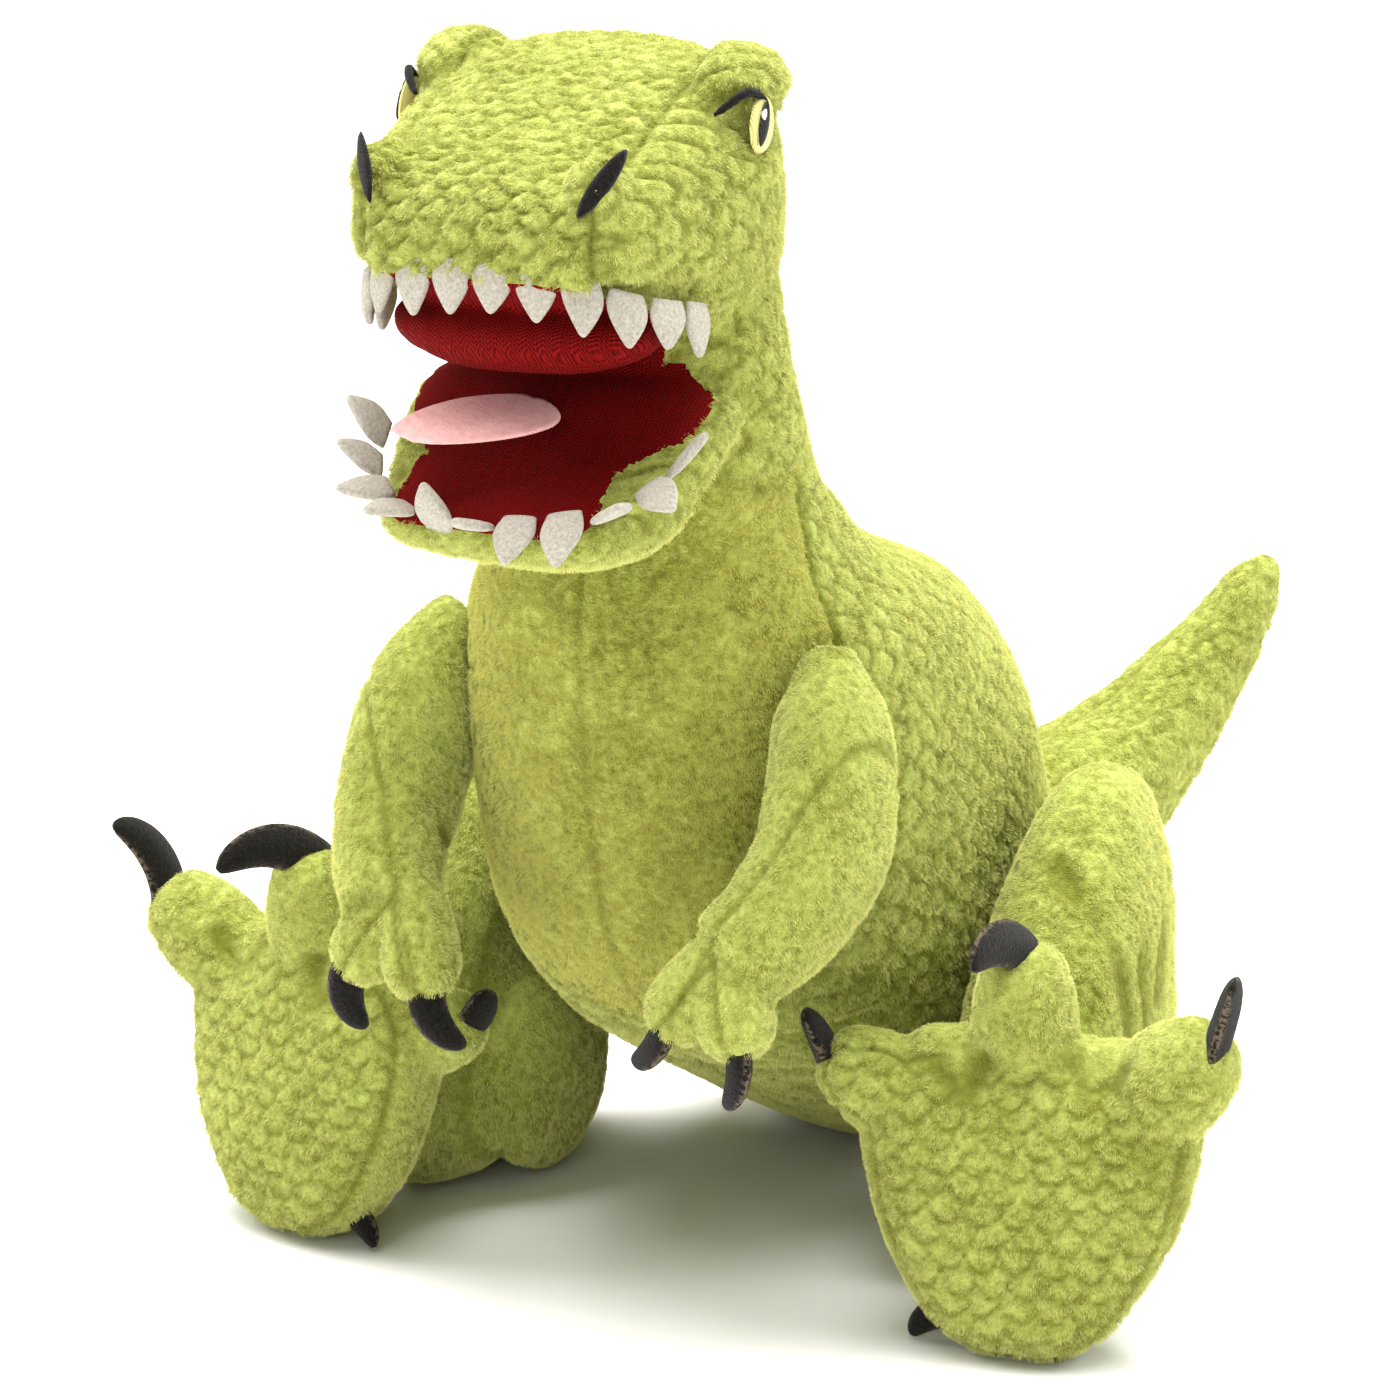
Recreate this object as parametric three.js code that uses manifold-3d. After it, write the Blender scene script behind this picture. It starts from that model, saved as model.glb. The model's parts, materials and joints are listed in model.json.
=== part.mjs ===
// A seated plush dinosaur with an open mouth, built as a sewn toy is: cloth panels
// around polyester filling, felt claws and teeth, and a lined mouth with a tongue.
//
// Millimetres, +Z up. The toy faces -Y and its left side is +X. The origin is the
// middle of the flat rump that it sits on, between the legs and the tail.

import * as THREE from 'three';
import { mergeVertices } from 'three/addons/utils/BufferGeometryUtils.js';
import Module from 'manifold-3d';

const wasm = await Module();
wasm.setup();

// ---- Driving dimensions -------------------------------------------------------------

const CLOTH = 3.2;              // one layer of plush: backing and flattened pile
const GAP = 0.3;                // clearance between pieces that touch when sewn
const FELT = 3.4;               // two layers of felt with a little wadding between
const LARGE_SIDES = 14;         // facets around the torso and the head
const LIMB_SIDES = 8;           // facets around the arms, thighs, feet and tail
const SMALL_SIDES = 6;          // facets around toes, fingers and claws
const TOOTH_SIDES = 4;          // facets around a felt tooth
const BALL_SIDES = 24;          // facets around a ball that turns in a hollow
const TURNING_GAP = 1.5;        // clearance between such a ball and its hollow
const WORLD = 1200;             // edge of a box large enough to halve any piece

const NECK = new THREE.Vector3(0, -64, 300);      // centre that the head nods about
const NECK_BALL = 48;                             // radius of the stuffed ball in the neck
const JAW = new THREE.Vector3(0, -116, 322);      // hinge line of the mouth
const JAW_ROLL = 24;                              // radius of the rolled back of the jaw
const JAW_HALF_WIDTH = 57;
const TONGUE_ROOT = new THREE.Vector3(-1, -144, 329); // hinge line of the tongue

const HIP = new THREE.Vector3(92, 45, 85);        // left hip, on the flat side of the torso
const ANKLE_BALL = 39;
const ANKLE_SWING = 18;                           // degrees that the foot tips each way
const SHOULDER = new THREE.Vector3(64, -86, 212); // left shoulder, on the corner of the chest
const SHOULDER_TURN = 35;                         // degrees that the shoulder faces forward
const TAIL_ROOT = new THREE.Vector3(14, 136, 96);
const TAIL_BALL = 44;
const TAIL_SWING = 15;                            // degrees that the tail wags each way
const SEAT = new THREE.Vector3(0, 131, 0);        // middle of the flat rump

// Lowest point of each foot. The right leg lies a little further forward.
const HEELS = new Map([
  [1, new THREE.Vector3(148, -88, 3)],
  [-1, new THREE.Vector3(-142, -108, 3)],
]);
const ANKLE_HEIGHT = 50;                          // how far up the foot its hinge lies
const ANKLE_DEPTH = 88;                           // how far behind the sole face it lies
const FOOT_SPLAY = 14;                            // degrees that a foot turns outward
const FOOT_LEAN = 8;                              // degrees that the toes lean back
const CLAW_LENGTH = 36;
const INNER_CLAW_LENGTH = 18;
const FINGER_CLAW_LENGTH = 22;
const HEEL_CLAW_LENGTH = 18;

// ---- Solids -------------------------------------------------------------------------

const radians = THREE.MathUtils.degToRad;
const X = new THREE.Vector3(1, 0, 0);
const Y = new THREE.Vector3(0, 1, 0);
const Z = new THREE.Vector3(0, 0, 1);

// Turns a closed three.js geometry into a solid that can be joined and cut.
function solidFrom(geometry) {
  const bare = geometry.clone();
  for (const name of Object.keys(bare.attributes)) {
    if (name !== 'position') {
      bare.deleteAttribute(name);
    }
  }
  const merged = mergeVertices(bare, 1e-4);
  const mesh = new wasm.Mesh({
    numProp: 3,
    vertProperties: new Float32Array(merged.attributes.position.array),
    triVerts: new Uint32Array(merged.index.array),
  });
  return new wasm.Manifold(mesh);
}

function geometryFrom(solid) {
  const mesh = solid.getMesh();
  const geometry = new THREE.BufferGeometry();
  geometry.setAttribute('position', new THREE.BufferAttribute(mesh.vertProperties, 3));
  geometry.setIndex(new THREE.BufferAttribute(mesh.triVerts, 1));
  return geometry;
}

function joined(...solids) {
  return solids.reduce((whole, solid) => whole.add(solid));
}

function cut(solid, ...tools) {
  return tools.reduce((rest, tool) => rest.subtract(tool), solid);
}

// Keeps the largest body of a solid, without the slivers that a cut can leave.
function largestBody(solid) {
  const bodies = solid.decompose();
  bodies.sort((a, b) => b.volume() - a.volume());
  return bodies[0];
}

function ball(centre, radius, sides = LIMB_SIDES) {
  const geometry = new THREE.SphereGeometry(radius, sides, Math.round(sides / 2));
  geometry.translate(centre.x, centre.y, centre.z);
  return solidFrom(geometry);
}

function box(low, high) {
  const size = high.clone().sub(low);
  const middle = low.clone().add(high).multiplyScalar(0.5);
  const geometry = new THREE.BoxGeometry(size.x, size.y, size.z);
  geometry.translate(middle.x, middle.y, middle.z);
  return solidFrom(geometry);
}

// A roll of cloth whose axis runs left to right.
function rollAlongX(centre, radius, halfWidth, sides = 20) {
  const geometry = new THREE.CylinderGeometry(radius, radius, 2 * halfWidth, sides);
  geometry.rotateZ(Math.PI / 2);
  geometry.translate(centre.x, centre.y, centre.z);
  return solidFrom(geometry);
}

// Everything on the side of a plane that its normal points to.
function halfSpace(point, normal) {
  const geometry = new THREE.BoxGeometry(WORLD, WORLD, WORLD);
  geometry.translate(0, 0, WORLD / 2);
  const turn = new THREE.Quaternion().setFromUnitVectors(Z, normal.clone().normalize());
  geometry.applyQuaternion(turn);
  geometry.translate(point.x, point.y, point.z);
  return solidFrom(geometry);
}

// One cross-section of a stuffed shape. Roundness 2 is an ellipse, and more is boxier.
function section(at, across, up, halfAcross, halfUp, roundness = 2) {
  return { at, across, up, halfAcross, halfUp, roundness };
}

function sectionPoints(piece, sides, inset) {
  const points = [];
  for (let i = 0; i < sides; i += 1) {
    const angle = (2 * Math.PI * (i + 0.5)) / sides;
    const c = Math.cos(angle);
    const s = Math.sin(angle);
    const n = piece.roundness;
    const reach = (Math.abs(c) ** n + Math.abs(s) ** n) ** (-1 / n);
    const point = piece.at.clone();
    point.addScaledVector(piece.across, Math.max(piece.halfAcross - inset, 1) * c * reach);
    point.addScaledVector(piece.up, Math.max(piece.halfUp - inset, 1) * s * reach);
    points.push(point);
  }
  return points;
}

// A closed shape through a row of sections. An inset shrinks it all round, ends included.
function stuffed(sections, sides, inset = 0) {
  const count = sections.length;
  const rings = sections.map((piece) => sectionPoints(piece, sides, inset));
  const first = sections[0].at.clone();
  const last = sections[count - 1].at.clone();
  if (inset !== 0) {
    const inward = sections[1].at.clone().sub(first).normalize().multiplyScalar(inset);
    const outward = sections[count - 2].at.clone().sub(last).normalize().multiplyScalar(inset);
    rings[0].forEach((point) => point.add(inward));
    rings[count - 1].forEach((point) => point.add(outward));
    first.add(inward);
    last.add(outward);
  }
  const points = rings.flat();
  const faces = [];
  for (let r = 0; r < count - 1; r += 1) {
    for (let i = 0; i < sides; i += 1) {
      const next = (i + 1) % sides;
      const a = r * sides + i;
      const b = r * sides + next;
      const c = (r + 1) * sides + next;
      const d = (r + 1) * sides + i;
      faces.push([a, b, c], [a, c, d]);
    }
  }
  const firstCentre = points.push(first) - 1;
  const lastCentre = points.push(last) - 1;
  for (let i = 0; i < sides; i += 1) {
    const next = (i + 1) % sides;
    faces.push([firstCentre, next, i]);
    faces.push([lastCentre, (count - 1) * sides + i, (count - 1) * sides + next]);
  }
  return solidFrom(facedOut(points, faces));
}

// A geometry from points and triangles, turned so that its faces point out.
function facedOut(points, faces) {
  let volume = 0;
  for (const [a, b, c] of faces) {
    volume += points[a].clone().cross(points[b]).dot(points[c]);
  }
  const order = volume < 0 ? faces.map(([a, b, c]) => [a, c, b]) : faces;
  const geometry = new THREE.BufferGeometry();
  geometry.setFromPoints(points);
  geometry.setIndex(order.flat());
  return geometry;
}

// Mirrors a point of the left side to the side that is being made.
function onSide(side, x, y, z) {
  return new THREE.Vector3(side * x, y, z);
}

// ---- The named pieces ---------------------------------------------------------------

const plush = { color: 0xb4c04c, roughness: 0.95, metalness: 0 };
const bellyPlush = { color: 0xb0b24a, roughness: 0.95, metalness: 0 };
const blackFelt = { color: 0x16130f, roughness: 0.98, metalness: 0 };
const toothFelt = { color: 0xd6d0c0, roughness: 0.95, metalness: 0 };
const redLining = { color: 0xa3201c, roughness: 0.85, metalness: 0 };
const tonguePlush = { color: 0xe59a98, roughness: 0.95, metalness: 0 };
const wadding = { color: 0xefeee8, roughness: 1, metalness: 0 };
const eyeThread = { color: 0xd9cf6a, roughness: 0.6, metalness: 0 };

const dinosaur = new THREE.Group();
dinosaur.name = 'plush_dinosaur';

function addPiece(name, solid, finish) {
  const material = new THREE.MeshStandardMaterial(finish);
  const mesh = new THREE.Mesh(geometryFrom(largestBody(solid)), material);
  mesh.name = name;
  dinosaur.add(mesh);
}

// ---- Tail -----------------------------------------------------------------------------------

// Centre and radius of the tail, from the rump to its tip.
const tailStations = [
  [18, 150, 97, 34],
  [26, 174, 100, 36],
  [44, 207, 114, 32],
  [60, 232, 135, 25],
  [76, 252, 163, 18],
  [90, 264, 191, 11],
  [95, 266, 202, 6],
];

const tailCentres = tailStations.map(([x, y, z]) => new THREE.Vector3(x, y, z));
const tailSections = tailStations.map(([, , , radius], i) => {
  const before = tailCentres[Math.max(i - 1, 0)];
  const after = tailCentres[Math.min(i + 1, tailCentres.length - 1)];
  const along = after.clone().sub(before).normalize();
  const across = along.clone().cross(Z).normalize();
  const up = across.clone().cross(along).normalize();
  return section(tailCentres[i], across, up, radius, radius);
});
const TAIL_CLEARANCE = 1.5;

function tailBody(inset) {
  const tapered = stuffed(tailSections, LIMB_SIDES, inset);
  return joined(tapered, ball(TAIL_ROOT, TAIL_BALL - inset, BALL_SIDES));
}

// The room that the tail needs in the rump while it wags.
function tailRoom(inset) {
  const copies = [-TAIL_SWING, 0, TAIL_SWING].map((degrees) => {
    const turned = tailSections.map((piece) => {
      const turn = (vector) => vector.clone().applyAxisAngle(Z, radians(degrees));
      const at = turn(piece.at.clone().sub(TAIL_ROOT)).add(TAIL_ROOT);
      return section(at, turn(piece.across), turn(piece.up), piece.halfAcross, piece.halfUp);
    });
    return stuffed(turned.slice(0, 3), LIMB_SIDES, -TAIL_CLEARANCE - inset);
  });
  return joined(ball(TAIL_ROOT, TAIL_BALL + TURNING_GAP + inset, BALL_SIDES), ...copies);
}

const tailSkin = tailBody(0).subtract(tailBody(CLOTH));
const tailMouth = halfSpace(
  TAIL_ROOT.clone().add(new THREE.Vector3(0, -TAIL_BALL + CLOTH + 4, 0)),
  Y.clone().negate(),
);
addPiece('tail_skin', cut(tailSkin, tailMouth), plush);
addPiece('tail_filling', tailBody(CLOTH + GAP), wadding);

// ---- Torso: belly panel, two back panels and the filling ------------------------------

// Height, front, back and half width of the body, from the seat to the neck.
const torsoHeights = [
  [0, 102, 160, 36],
  [5, 90, 172, 47],
  [20, 60, 182, 61],
  [42, 20, 184, 74],
  [62, -16, 182, 82],
  [84, -52, 178, 88],
  [106, -76, 173, 91],
  [130, -94, 164, 91],
  [152, -103, 150, 90],
  [188, -111, 132, 89],
  [218, -115, 106, 85],
  [242, -116, 72, 78],
  [262, -114, 20, 65],
  [284, -110, -6, 58],
];
const torsoSections = torsoHeights.map(([z, front, back, halfWidth]) => (
  section(new THREE.Vector3(0, (front + back) / 2, z), X, Y, halfWidth, (back - front) / 2, 2.15)
));

// The torso, with the hollows that the neck ball and the tail turn in, lined by the same cloth.
function torsoBody(inset) {
  const neckHollow = ball(NECK, NECK_BALL + TURNING_GAP + inset, BALL_SIDES);
  const tailHollow = tailRoom(inset);
  const sides = [1, -1].map((side) => halfSpace(
    onSide(side, HIP.x - 1 - inset, 0, 0),
    X.clone().multiplyScalar(side),
  ));
  return cut(stuffed(torsoSections, LARGE_SIDES, inset), neckHollow, tailHollow, ...sides);
}

const BELLY_SEAM_Y = -66;        // the long seams run down both sides of the belly here
const torsoSkin = torsoBody(0).subtract(torsoBody(CLOTH));
const bellySide = halfSpace(new THREE.Vector3(0, BELLY_SEAM_Y, 0), Y.clone().negate());
const underside = halfSpace(new THREE.Vector3(0, 0, CLOTH + GAP / 2), Z.clone().negate());
const backSide = halfSpace(new THREE.Vector3(0, BELLY_SEAM_Y + GAP, 0), Y)
  .intersect(halfSpace(new THREE.Vector3(0, 0, CLOTH + GAP * 1.5), Z));

addPiece('belly_panel', torsoSkin.intersect(bellySide), bellyPlush);
addPiece('seat_panel', torsoSkin.intersect(underside), plush);
for (const [side, word] of [[1, 'left'], [-1, 'right']]) {
  const half = halfSpace(onSide(side, GAP / 2, 0, 0), X.clone().multiplyScalar(side));
  addPiece(`back_panel_${word}`, torsoSkin.intersect(backSide).intersect(half), plush);
}
addPiece('torso_filling', torsoBody(CLOTH + GAP), wadding);

// ---- Head: snout panel, two cheeks, palate lining and the filling ---------------------

// Distance forward, underside, top and half width of the upper head, from snout to back.
const headDepths = [
  [-181, 373, 393, 37],
  [-176, 367, 402, 45],
  [-165, 363, 412, 52],
  [-150, 359, 421, 58],
  [-136, 355, 429, 62],
  [-118, 348, 438, 65],
  [-97, 340, 443, 63],
  [-78, 338, 440, 56],
  [-60, 344, 428, 45],
  [-47, 358, 406, 29],
];
const headSections = headDepths.map(([y, under, top, halfWidth]) => (
  section(new THREE.Vector3(0, y, (under + top) / 2), X, Z, halfWidth, (top - under) / 2, 2.7)
));
// Height, front, back and half width of the neck that carries the head.
const neckHeights = [
  [297, -122, -22, 57],
  [318, -126, -34, 58],
  [342, -130, -46, 58],
  [366, -128, -52, 56],
];
const neckSections = neckHeights.map(([z, front, back, halfWidth]) => (
  section(new THREE.Vector3(0, (front + back) / 2, z), X, Y, halfWidth, (back - front) / 2, 2.2)
));

// The room that the jaw swings in: a roll around its hinge and a wedge in front of it.
function jawRoom(inset) {
  const roll = rollAlongX(JAW, JAW_ROLL + 1 + inset, WORLD / 8);
  const low = new THREE.Vector3(-WORLD / 8, -WORLD / 4, 0);
  const high = new THREE.Vector3(WORLD / 8, JAW.y + inset, JAW.z + JAW_ROLL - 5 + inset);
  return joined(roll, box(low, high));
}

function headBody(inset) {
  const upper = stuffed(headSections, LARGE_SIDES, inset);
  const neck = stuffed(neckSections, LARGE_SIDES, inset);
  const neckBall = ball(NECK, NECK_BALL - inset, BALL_SIDES);
  return cut(joined(upper, neck, neckBall), jawRoom(inset));
}

const headOuter = headBody(0);
const headSkin = headOuter.subtract(headBody(CLOTH));
const lipPoint = new THREE.Vector3(0, -136, 360);
const lipNormal = new THREE.Vector3(0, -0.3, -0.954);   // out of the mouth roof, down and forward
const PALATE_BACK = -126;
const SNOUT_SEAM_X = 42;
const SNOUT_PANEL_BACK = -62;
const LINING_TOP_AT_BACK = 362;

function palateRegion(shift) {
  const below = halfSpace(lipPoint.clone().addScaledVector(lipNormal, shift), lipNormal);
  const front = halfSpace(new THREE.Vector3(0, PALATE_BACK - shift, 0), Y.clone().negate());
  return below.intersect(front);
}

function snoutRegion(shift) {
  const low = new THREE.Vector3(-SNOUT_SEAM_X + shift, -WORLD / 2, LINING_TOP_AT_BACK);
  const high = new THREE.Vector3(SNOUT_SEAM_X - shift, SNOUT_PANEL_BACK - shift, WORLD);
  return box(low, high);
}

const palateOuter = palateRegion(-GAP);
addPiece('palate_lining', headSkin.intersect(palateRegion(0)), redLining);
addPiece('snout_panel', cut(headSkin, palateOuter).intersect(snoutRegion(GAP)), plush);
for (const [side, word] of [[1, 'left'], [-1, 'right']]) {
  const half = halfSpace(onSide(side, GAP / 2, 0, 0), X.clone().multiplyScalar(side));
  addPiece(`cheek_${word}`, cut(headSkin, palateOuter, snoutRegion(0)).intersect(half), plush);
}
addPiece('head_filling', headBody(CLOTH + GAP), wadding);

// ---- Jaw: chin panel, lining and filling ----------------------------------------------

// Distance forward, underside, top and half width of the lower jaw.
const jawDepths = [
  [-179, 289, 298, 31],
  [-174, 284, 302, 39],
  [-160, 280, 309, 47],
  [-145, 281, 319, 53],
  [-130, 291, 335, JAW_HALF_WIDTH],
  [-118, 303, 341, JAW_HALF_WIDTH],
];
const jawSections = jawDepths.map(([y, under, top, halfWidth]) => (
  section(new THREE.Vector3(0, y, (under + top) / 2), X, Z, halfWidth, (top - under) / 2, 2.7)
));

function jawBody(inset) {
  const front = stuffed(jawSections, LARGE_SIDES, inset);
  const roll = rollAlongX(JAW, JAW_ROLL - inset, JAW_HALF_WIDTH - 1 - inset);
  return joined(front, roll);
}

const jawOuter = jawBody(0);
const jawSkin = jawOuter.subtract(jawBody(CLOTH));
const lowerLipPoint = new THREE.Vector3(0, -184, 290);
const lowerLipNormal = new THREE.Vector3(0, -0.521, 0.854);  // up out of the mouth floor, and forward
function mouthFloorRegion(shift) {
  return halfSpace(lowerLipPoint.clone().addScaledVector(lowerLipNormal, shift), lowerLipNormal);
}
addPiece('jaw_lining', jawSkin.intersect(mouthFloorRegion(0)), redLining);
addPiece('chin_panel', cut(jawSkin, mouthFloorRegion(-GAP)), plush);
addPiece('jaw_filling', jawBody(CLOTH + GAP), wadding);

// ---- Tongue ---------------------------------------------------------------------------

const TONGUE_LENGTH = 38;
const TONGUE_RISE = 3;
const TONGUE_DRIFT = -20;        // the tip leans to the toy's right
const tongueSections = [0, 0.12, 0.35, 0.65, 0.88, 1].map((t) => {
  const at = new THREE.Vector3(
    TONGUE_ROOT.x + TONGUE_DRIFT * t * t,
    TONGUE_ROOT.y - TONGUE_LENGTH * t,
    TONGUE_ROOT.z + TONGUE_RISE * t,
  );
  const halfWidth = 3 + 15 * Math.sqrt(Math.sin(Math.PI * (0.08 + 0.86 * t)));
  return section(at, X, Z, halfWidth, 2.5, 2.2);
});
addPiece('tongue', stuffed(tongueSections, SMALL_SIDES + 4), tonguePlush);

// ---- Teeth: felt triangles on a tape that is sewn into each lip ------------------------

// A tooth is a flat felt cone. It starts on the lip and points along its direction.
function tooth(root, direction, along, halfWidth, length) {
  const thick = direction.clone().cross(along).normalize();
  const steps = [[0, 1], [0.55, 0.72], [1, 0.14]];
  const sections = steps.map(([t, width]) => section(
    root.clone().addScaledVector(direction, length * t),
    along,
    thick,
    halfWidth * width,
    (FELT / 2) * Math.max(width, 0.4),
  ));
  return stuffed(sections, TOOTH_SIDES);
}

// A row of teeth around a lip that runs back on both sides from the middle of the front.
function teethRow({ points, count, halfWidth, length, lean, upright }) {
  const lip = new THREE.CatmullRomCurve3(points, false, 'centripetal');
  const tapeSections = [];
  const tapeSteps = 12;
  for (let i = 0; i <= tapeSteps; i += 1) {
    const at = lip.getPointAt(i / tapeSteps);
    const along = lip.getTangentAt(i / tapeSteps);
    const outward = along.clone().cross(Z).normalize();
    tapeSections.push(section(at, outward, Z, 1.3, 2.4, 4));
  }
  const solids = [stuffed(tapeSections, TOOTH_SIDES)];
  for (let i = 0; i < count; i += 1) {
    const t = (i + 0.5) / count;
    const along = lip.getTangentAt(t);
    const outward = along.clone().cross(Z).normalize();
    const direction = Z.clone().multiplyScalar(upright).addScaledVector(outward, lean).normalize();
    solids.push(tooth(lip.getPointAt(t), direction, along, halfWidth, length));
  }
  return joined(...solids);
}

const upperLip = [
  [61, -134, 355], [59, -150, 359], [50, -168, 364], [34, -181, 370], [12, -184, 372],
  [-12, -184, 372], [-34, -181, 370], [-50, -168, 364], [-59, -150, 359], [-61, -134, 355],
].map(([x, y, z]) => new THREE.Vector3(x, y, z));
const lowerLip = [
  [61, -143, 324], [56, -160, 312], [43, -175, 304], [24, -182, 300], [0, -184, 299],
  [-24, -182, 300], [-43, -175, 304], [-56, -160, 312], [-61, -143, 324],
].map(([x, y, z]) => new THREE.Vector3(x, y, z));

const upperTeeth = teethRow({
  points: upperLip, count: 12, halfWidth: 8, length: 16, lean: 0.12, upright: -1,
});
const lowerTeeth = teethRow({
  points: lowerLip, count: 12, halfWidth: 7.5, length: 17, lean: 0.55, upright: 1,
});
addPiece('upper_teeth', upperTeeth.subtract(headBody(-GAP)), toothFelt);
addPiece('lower_teeth', lowerTeeth.subtract(jawBody(-GAP)), toothFelt);

// ---- Brows, eyes and nostrils -----------------------------------------------------------

// Centres on the toy's left side, and half sizes across, up and forward.
const BROW = { centre: [47, -97, 428], half: new THREE.Vector3(15, 13, 24) };
const EYE = { centre: [63, -116, 419], half: new THREE.Vector3(8, 11, 5) };
const NOSTRIL = { centre: [43, -170, 404], half: new THREE.Vector3(11, 3, 4) };
const EYE_FACING = [0.93, -0.32, 0.18];
const NOSTRIL_ALONG = [0.5, 0.3, 0.8];
const NOSTRIL_FACING = [0.55, -0.83, 0.1];
const CUT_POLE = 0.04;          // share of the half turn left off each end of a lobe

function lobe(centre, across, up, half, rows = 4, sides = LIMB_SIDES) {
  const forward = across.clone().cross(up).normalize();
  const sections = [];
  for (let i = 0; i <= rows; i += 1) {
    const angle = Math.PI * (CUT_POLE + ((1 - 2 * CUT_POLE) * i) / rows);
    const at = centre.clone().addScaledVector(forward, -Math.cos(angle) * half.z);
    sections.push(section(at, across, up, half.x * Math.sin(angle), half.y * Math.sin(angle)));
  }
  return stuffed(sections, sides);
}

const headSwollen = headBody(-GAP);
for (const [side, word] of [[1, 'left'], [-1, 'right']]) {
  const outward = onSide(side, ...EYE_FACING).normalize();
  const forward = Z.clone().cross(outward).normalize();
  const upward = outward.clone().cross(forward).normalize();
  const brow = lobe(onSide(side, ...BROW.centre), X, Z, BROW.half);
  const eye = lobe(onSide(side, ...EYE.centre), upward, forward, EYE.half);
  addPiece(`brow_${word}`, cut(brow, headSwollen), plush);
  addPiece(`eye_${word}`, cut(eye, headSwollen), eyeThread);
  const slitAcross = onSide(side, ...NOSTRIL_ALONG).normalize();
  const slitOut = onSide(side, ...NOSTRIL_FACING).normalize();
  const nostril = lobe(
    onSide(side, ...NOSTRIL.centre),
    slitAcross,
    slitOut.clone().cross(slitAcross).normalize(),
    NOSTRIL.half,
  );
  addPiece(`nostril_${word}`, cut(nostril, headSwollen), blackFelt);
}

// ---- Claws ------------------------------------------------------------------------------

const CLAW_STEPS = 3;
const CLAW_BEND = radians(70);
const CLAW_TAPER = 0.97;        // a claw's end is almost a point
const TOE_CLAW = { lift: 1.5, halfHeight: 8.5, halfThickness: 4.5 };
const FINGER_CLAW = { lift: 1, halfHeight: 6.5, halfThickness: 4, curl: [-0.6, 0.4, 0] };
const HEEL_CLAW = { root: [-24, 12, 24], halfHeight: 6, halfThickness: 4 };
// How much each toe claw leans from its toe: out from the sole, to the toy's right, or up.
const MIDDLE_CLAW_AIM = { out: 1.3, right: 0.7, down: 2 };
const SIDE_CLAW_RISE = 1.6;

// A flat felt horn that starts along one direction and curls towards another.
function claw(root, along, towards, length, { halfHeight, halfThickness }) {
  const acrossClaw = along.clone().cross(towards).normalize();
  const sections = [];
  for (let i = 0; i <= CLAW_STEPS; i += 1) {
    const t = i / CLAW_STEPS;
    const angle = CLAW_BEND * t;
    const radius = length / CLAW_BEND;
    const at = root.clone()
      .addScaledVector(along, radius * Math.sin(angle))
      .addScaledVector(towards, radius * (1 - Math.cos(angle)));
    const upwards = towards.clone().multiplyScalar(Math.cos(angle))
      .addScaledVector(along, -Math.sin(angle)).normalize();
    const shrink = Math.sqrt(1 - t * t * CLAW_TAPER);
    sections.push(section(at, acrossClaw, upwards, halfThickness * shrink, halfHeight * shrink));
  }
  return stuffed(sections, SMALL_SIDES);
}

// ---- Arms: outer and inner panel, filling and two finger claws ---------------------------

// Centre and half sizes of the left arm, from the shoulder to the wrist.
const armStations = [
  [73, -76, 231, 12, 12],
  [77, -82, 217, 18, 21],
  [80, -88, 195, 20, 25],
  [80, -98, 173, 20, 24],
  [72, -115, 155, 18, 20],
  [62, -127, 145, 16, 18],
];
// Root, tip and half size of the two fingers of each hand. The right hand is more open.
const FINGER_HALF = 13;
const hands = new Map([
  [1, [
    { word: 'inner', root: [56, -129, 140], tip: [42, -134, 121] },
    { word: 'outer', root: [66, -131, 138], tip: [72, -138, 118] },
  ]],
  [-1, [
    { word: 'inner', root: [58, -128, 140], tip: [49, -136, 118] },
    { word: 'outer', root: [70, -127, 140], tip: [83, -132, 120] },
  ]],
]);
const HAND_SPREAD = new Map([[1, 0], [-1, 7]]);   // how much further out the wrist lies

// The way that a shoulder faces, square to the flat seam that joins the arm to the chest.
function shoulderFacing(side) {
  const turn = radians(SHOULDER_TURN);
  return onSide(side, Math.cos(turn), -Math.sin(turn), 0);
}

function armBody(side, inset) {
  const count = armStations.length;
  const centres = armStations.map(([x, y, z], i) => (
    onSide(side, x + HAND_SPREAD.get(side) * (i / (count - 1)) ** 2, y, z)
  ));
  const sections = armStations.map(([, , , halfWidth, halfDepth], i) => {
    const before = centres[Math.max(i - 1, 0)];
    const after = centres[Math.min(i + 1, count - 1)];
    const along = after.clone().sub(before).normalize();
    const across = X.clone().addScaledVector(along, -along.x).normalize();
    const up = along.clone().cross(across).normalize();
    return section(centres[i], across, up, halfWidth, halfDepth, 2.2);
  });
  const solids = [stuffed(sections, LIMB_SIDES, inset)];
  for (const finger of hands.get(side)) {
    const root = onSide(side, ...finger.root);
    const tip = onSide(side, ...finger.tip);
    const along = tip.clone().sub(root).normalize();
    const across = Y.clone().addScaledVector(along, -along.y).normalize();
    const up = along.clone().cross(across).normalize();
    const reach = root.distanceTo(tip);
    const steps = [[-0.4, 0.9], [0.5, 1.05], [1, 0.5]];
    const knuckles = steps.map(([t, size]) => section(
      root.clone().addScaledVector(along, t * reach),
      across,
      up,
      FINGER_HALF * size,
      FINGER_HALF * size,
    ));
    solids.push(stuffed(knuckles, LIMB_SIDES, inset));
  }
  const facing = shoulderFacing(side);
  const shoulder = onSide(side, SHOULDER.x, SHOULDER.y, SHOULDER.z).addScaledVector(facing, inset);
  return joined(...solids).intersect(halfSpace(shoulder, facing));
}

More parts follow.
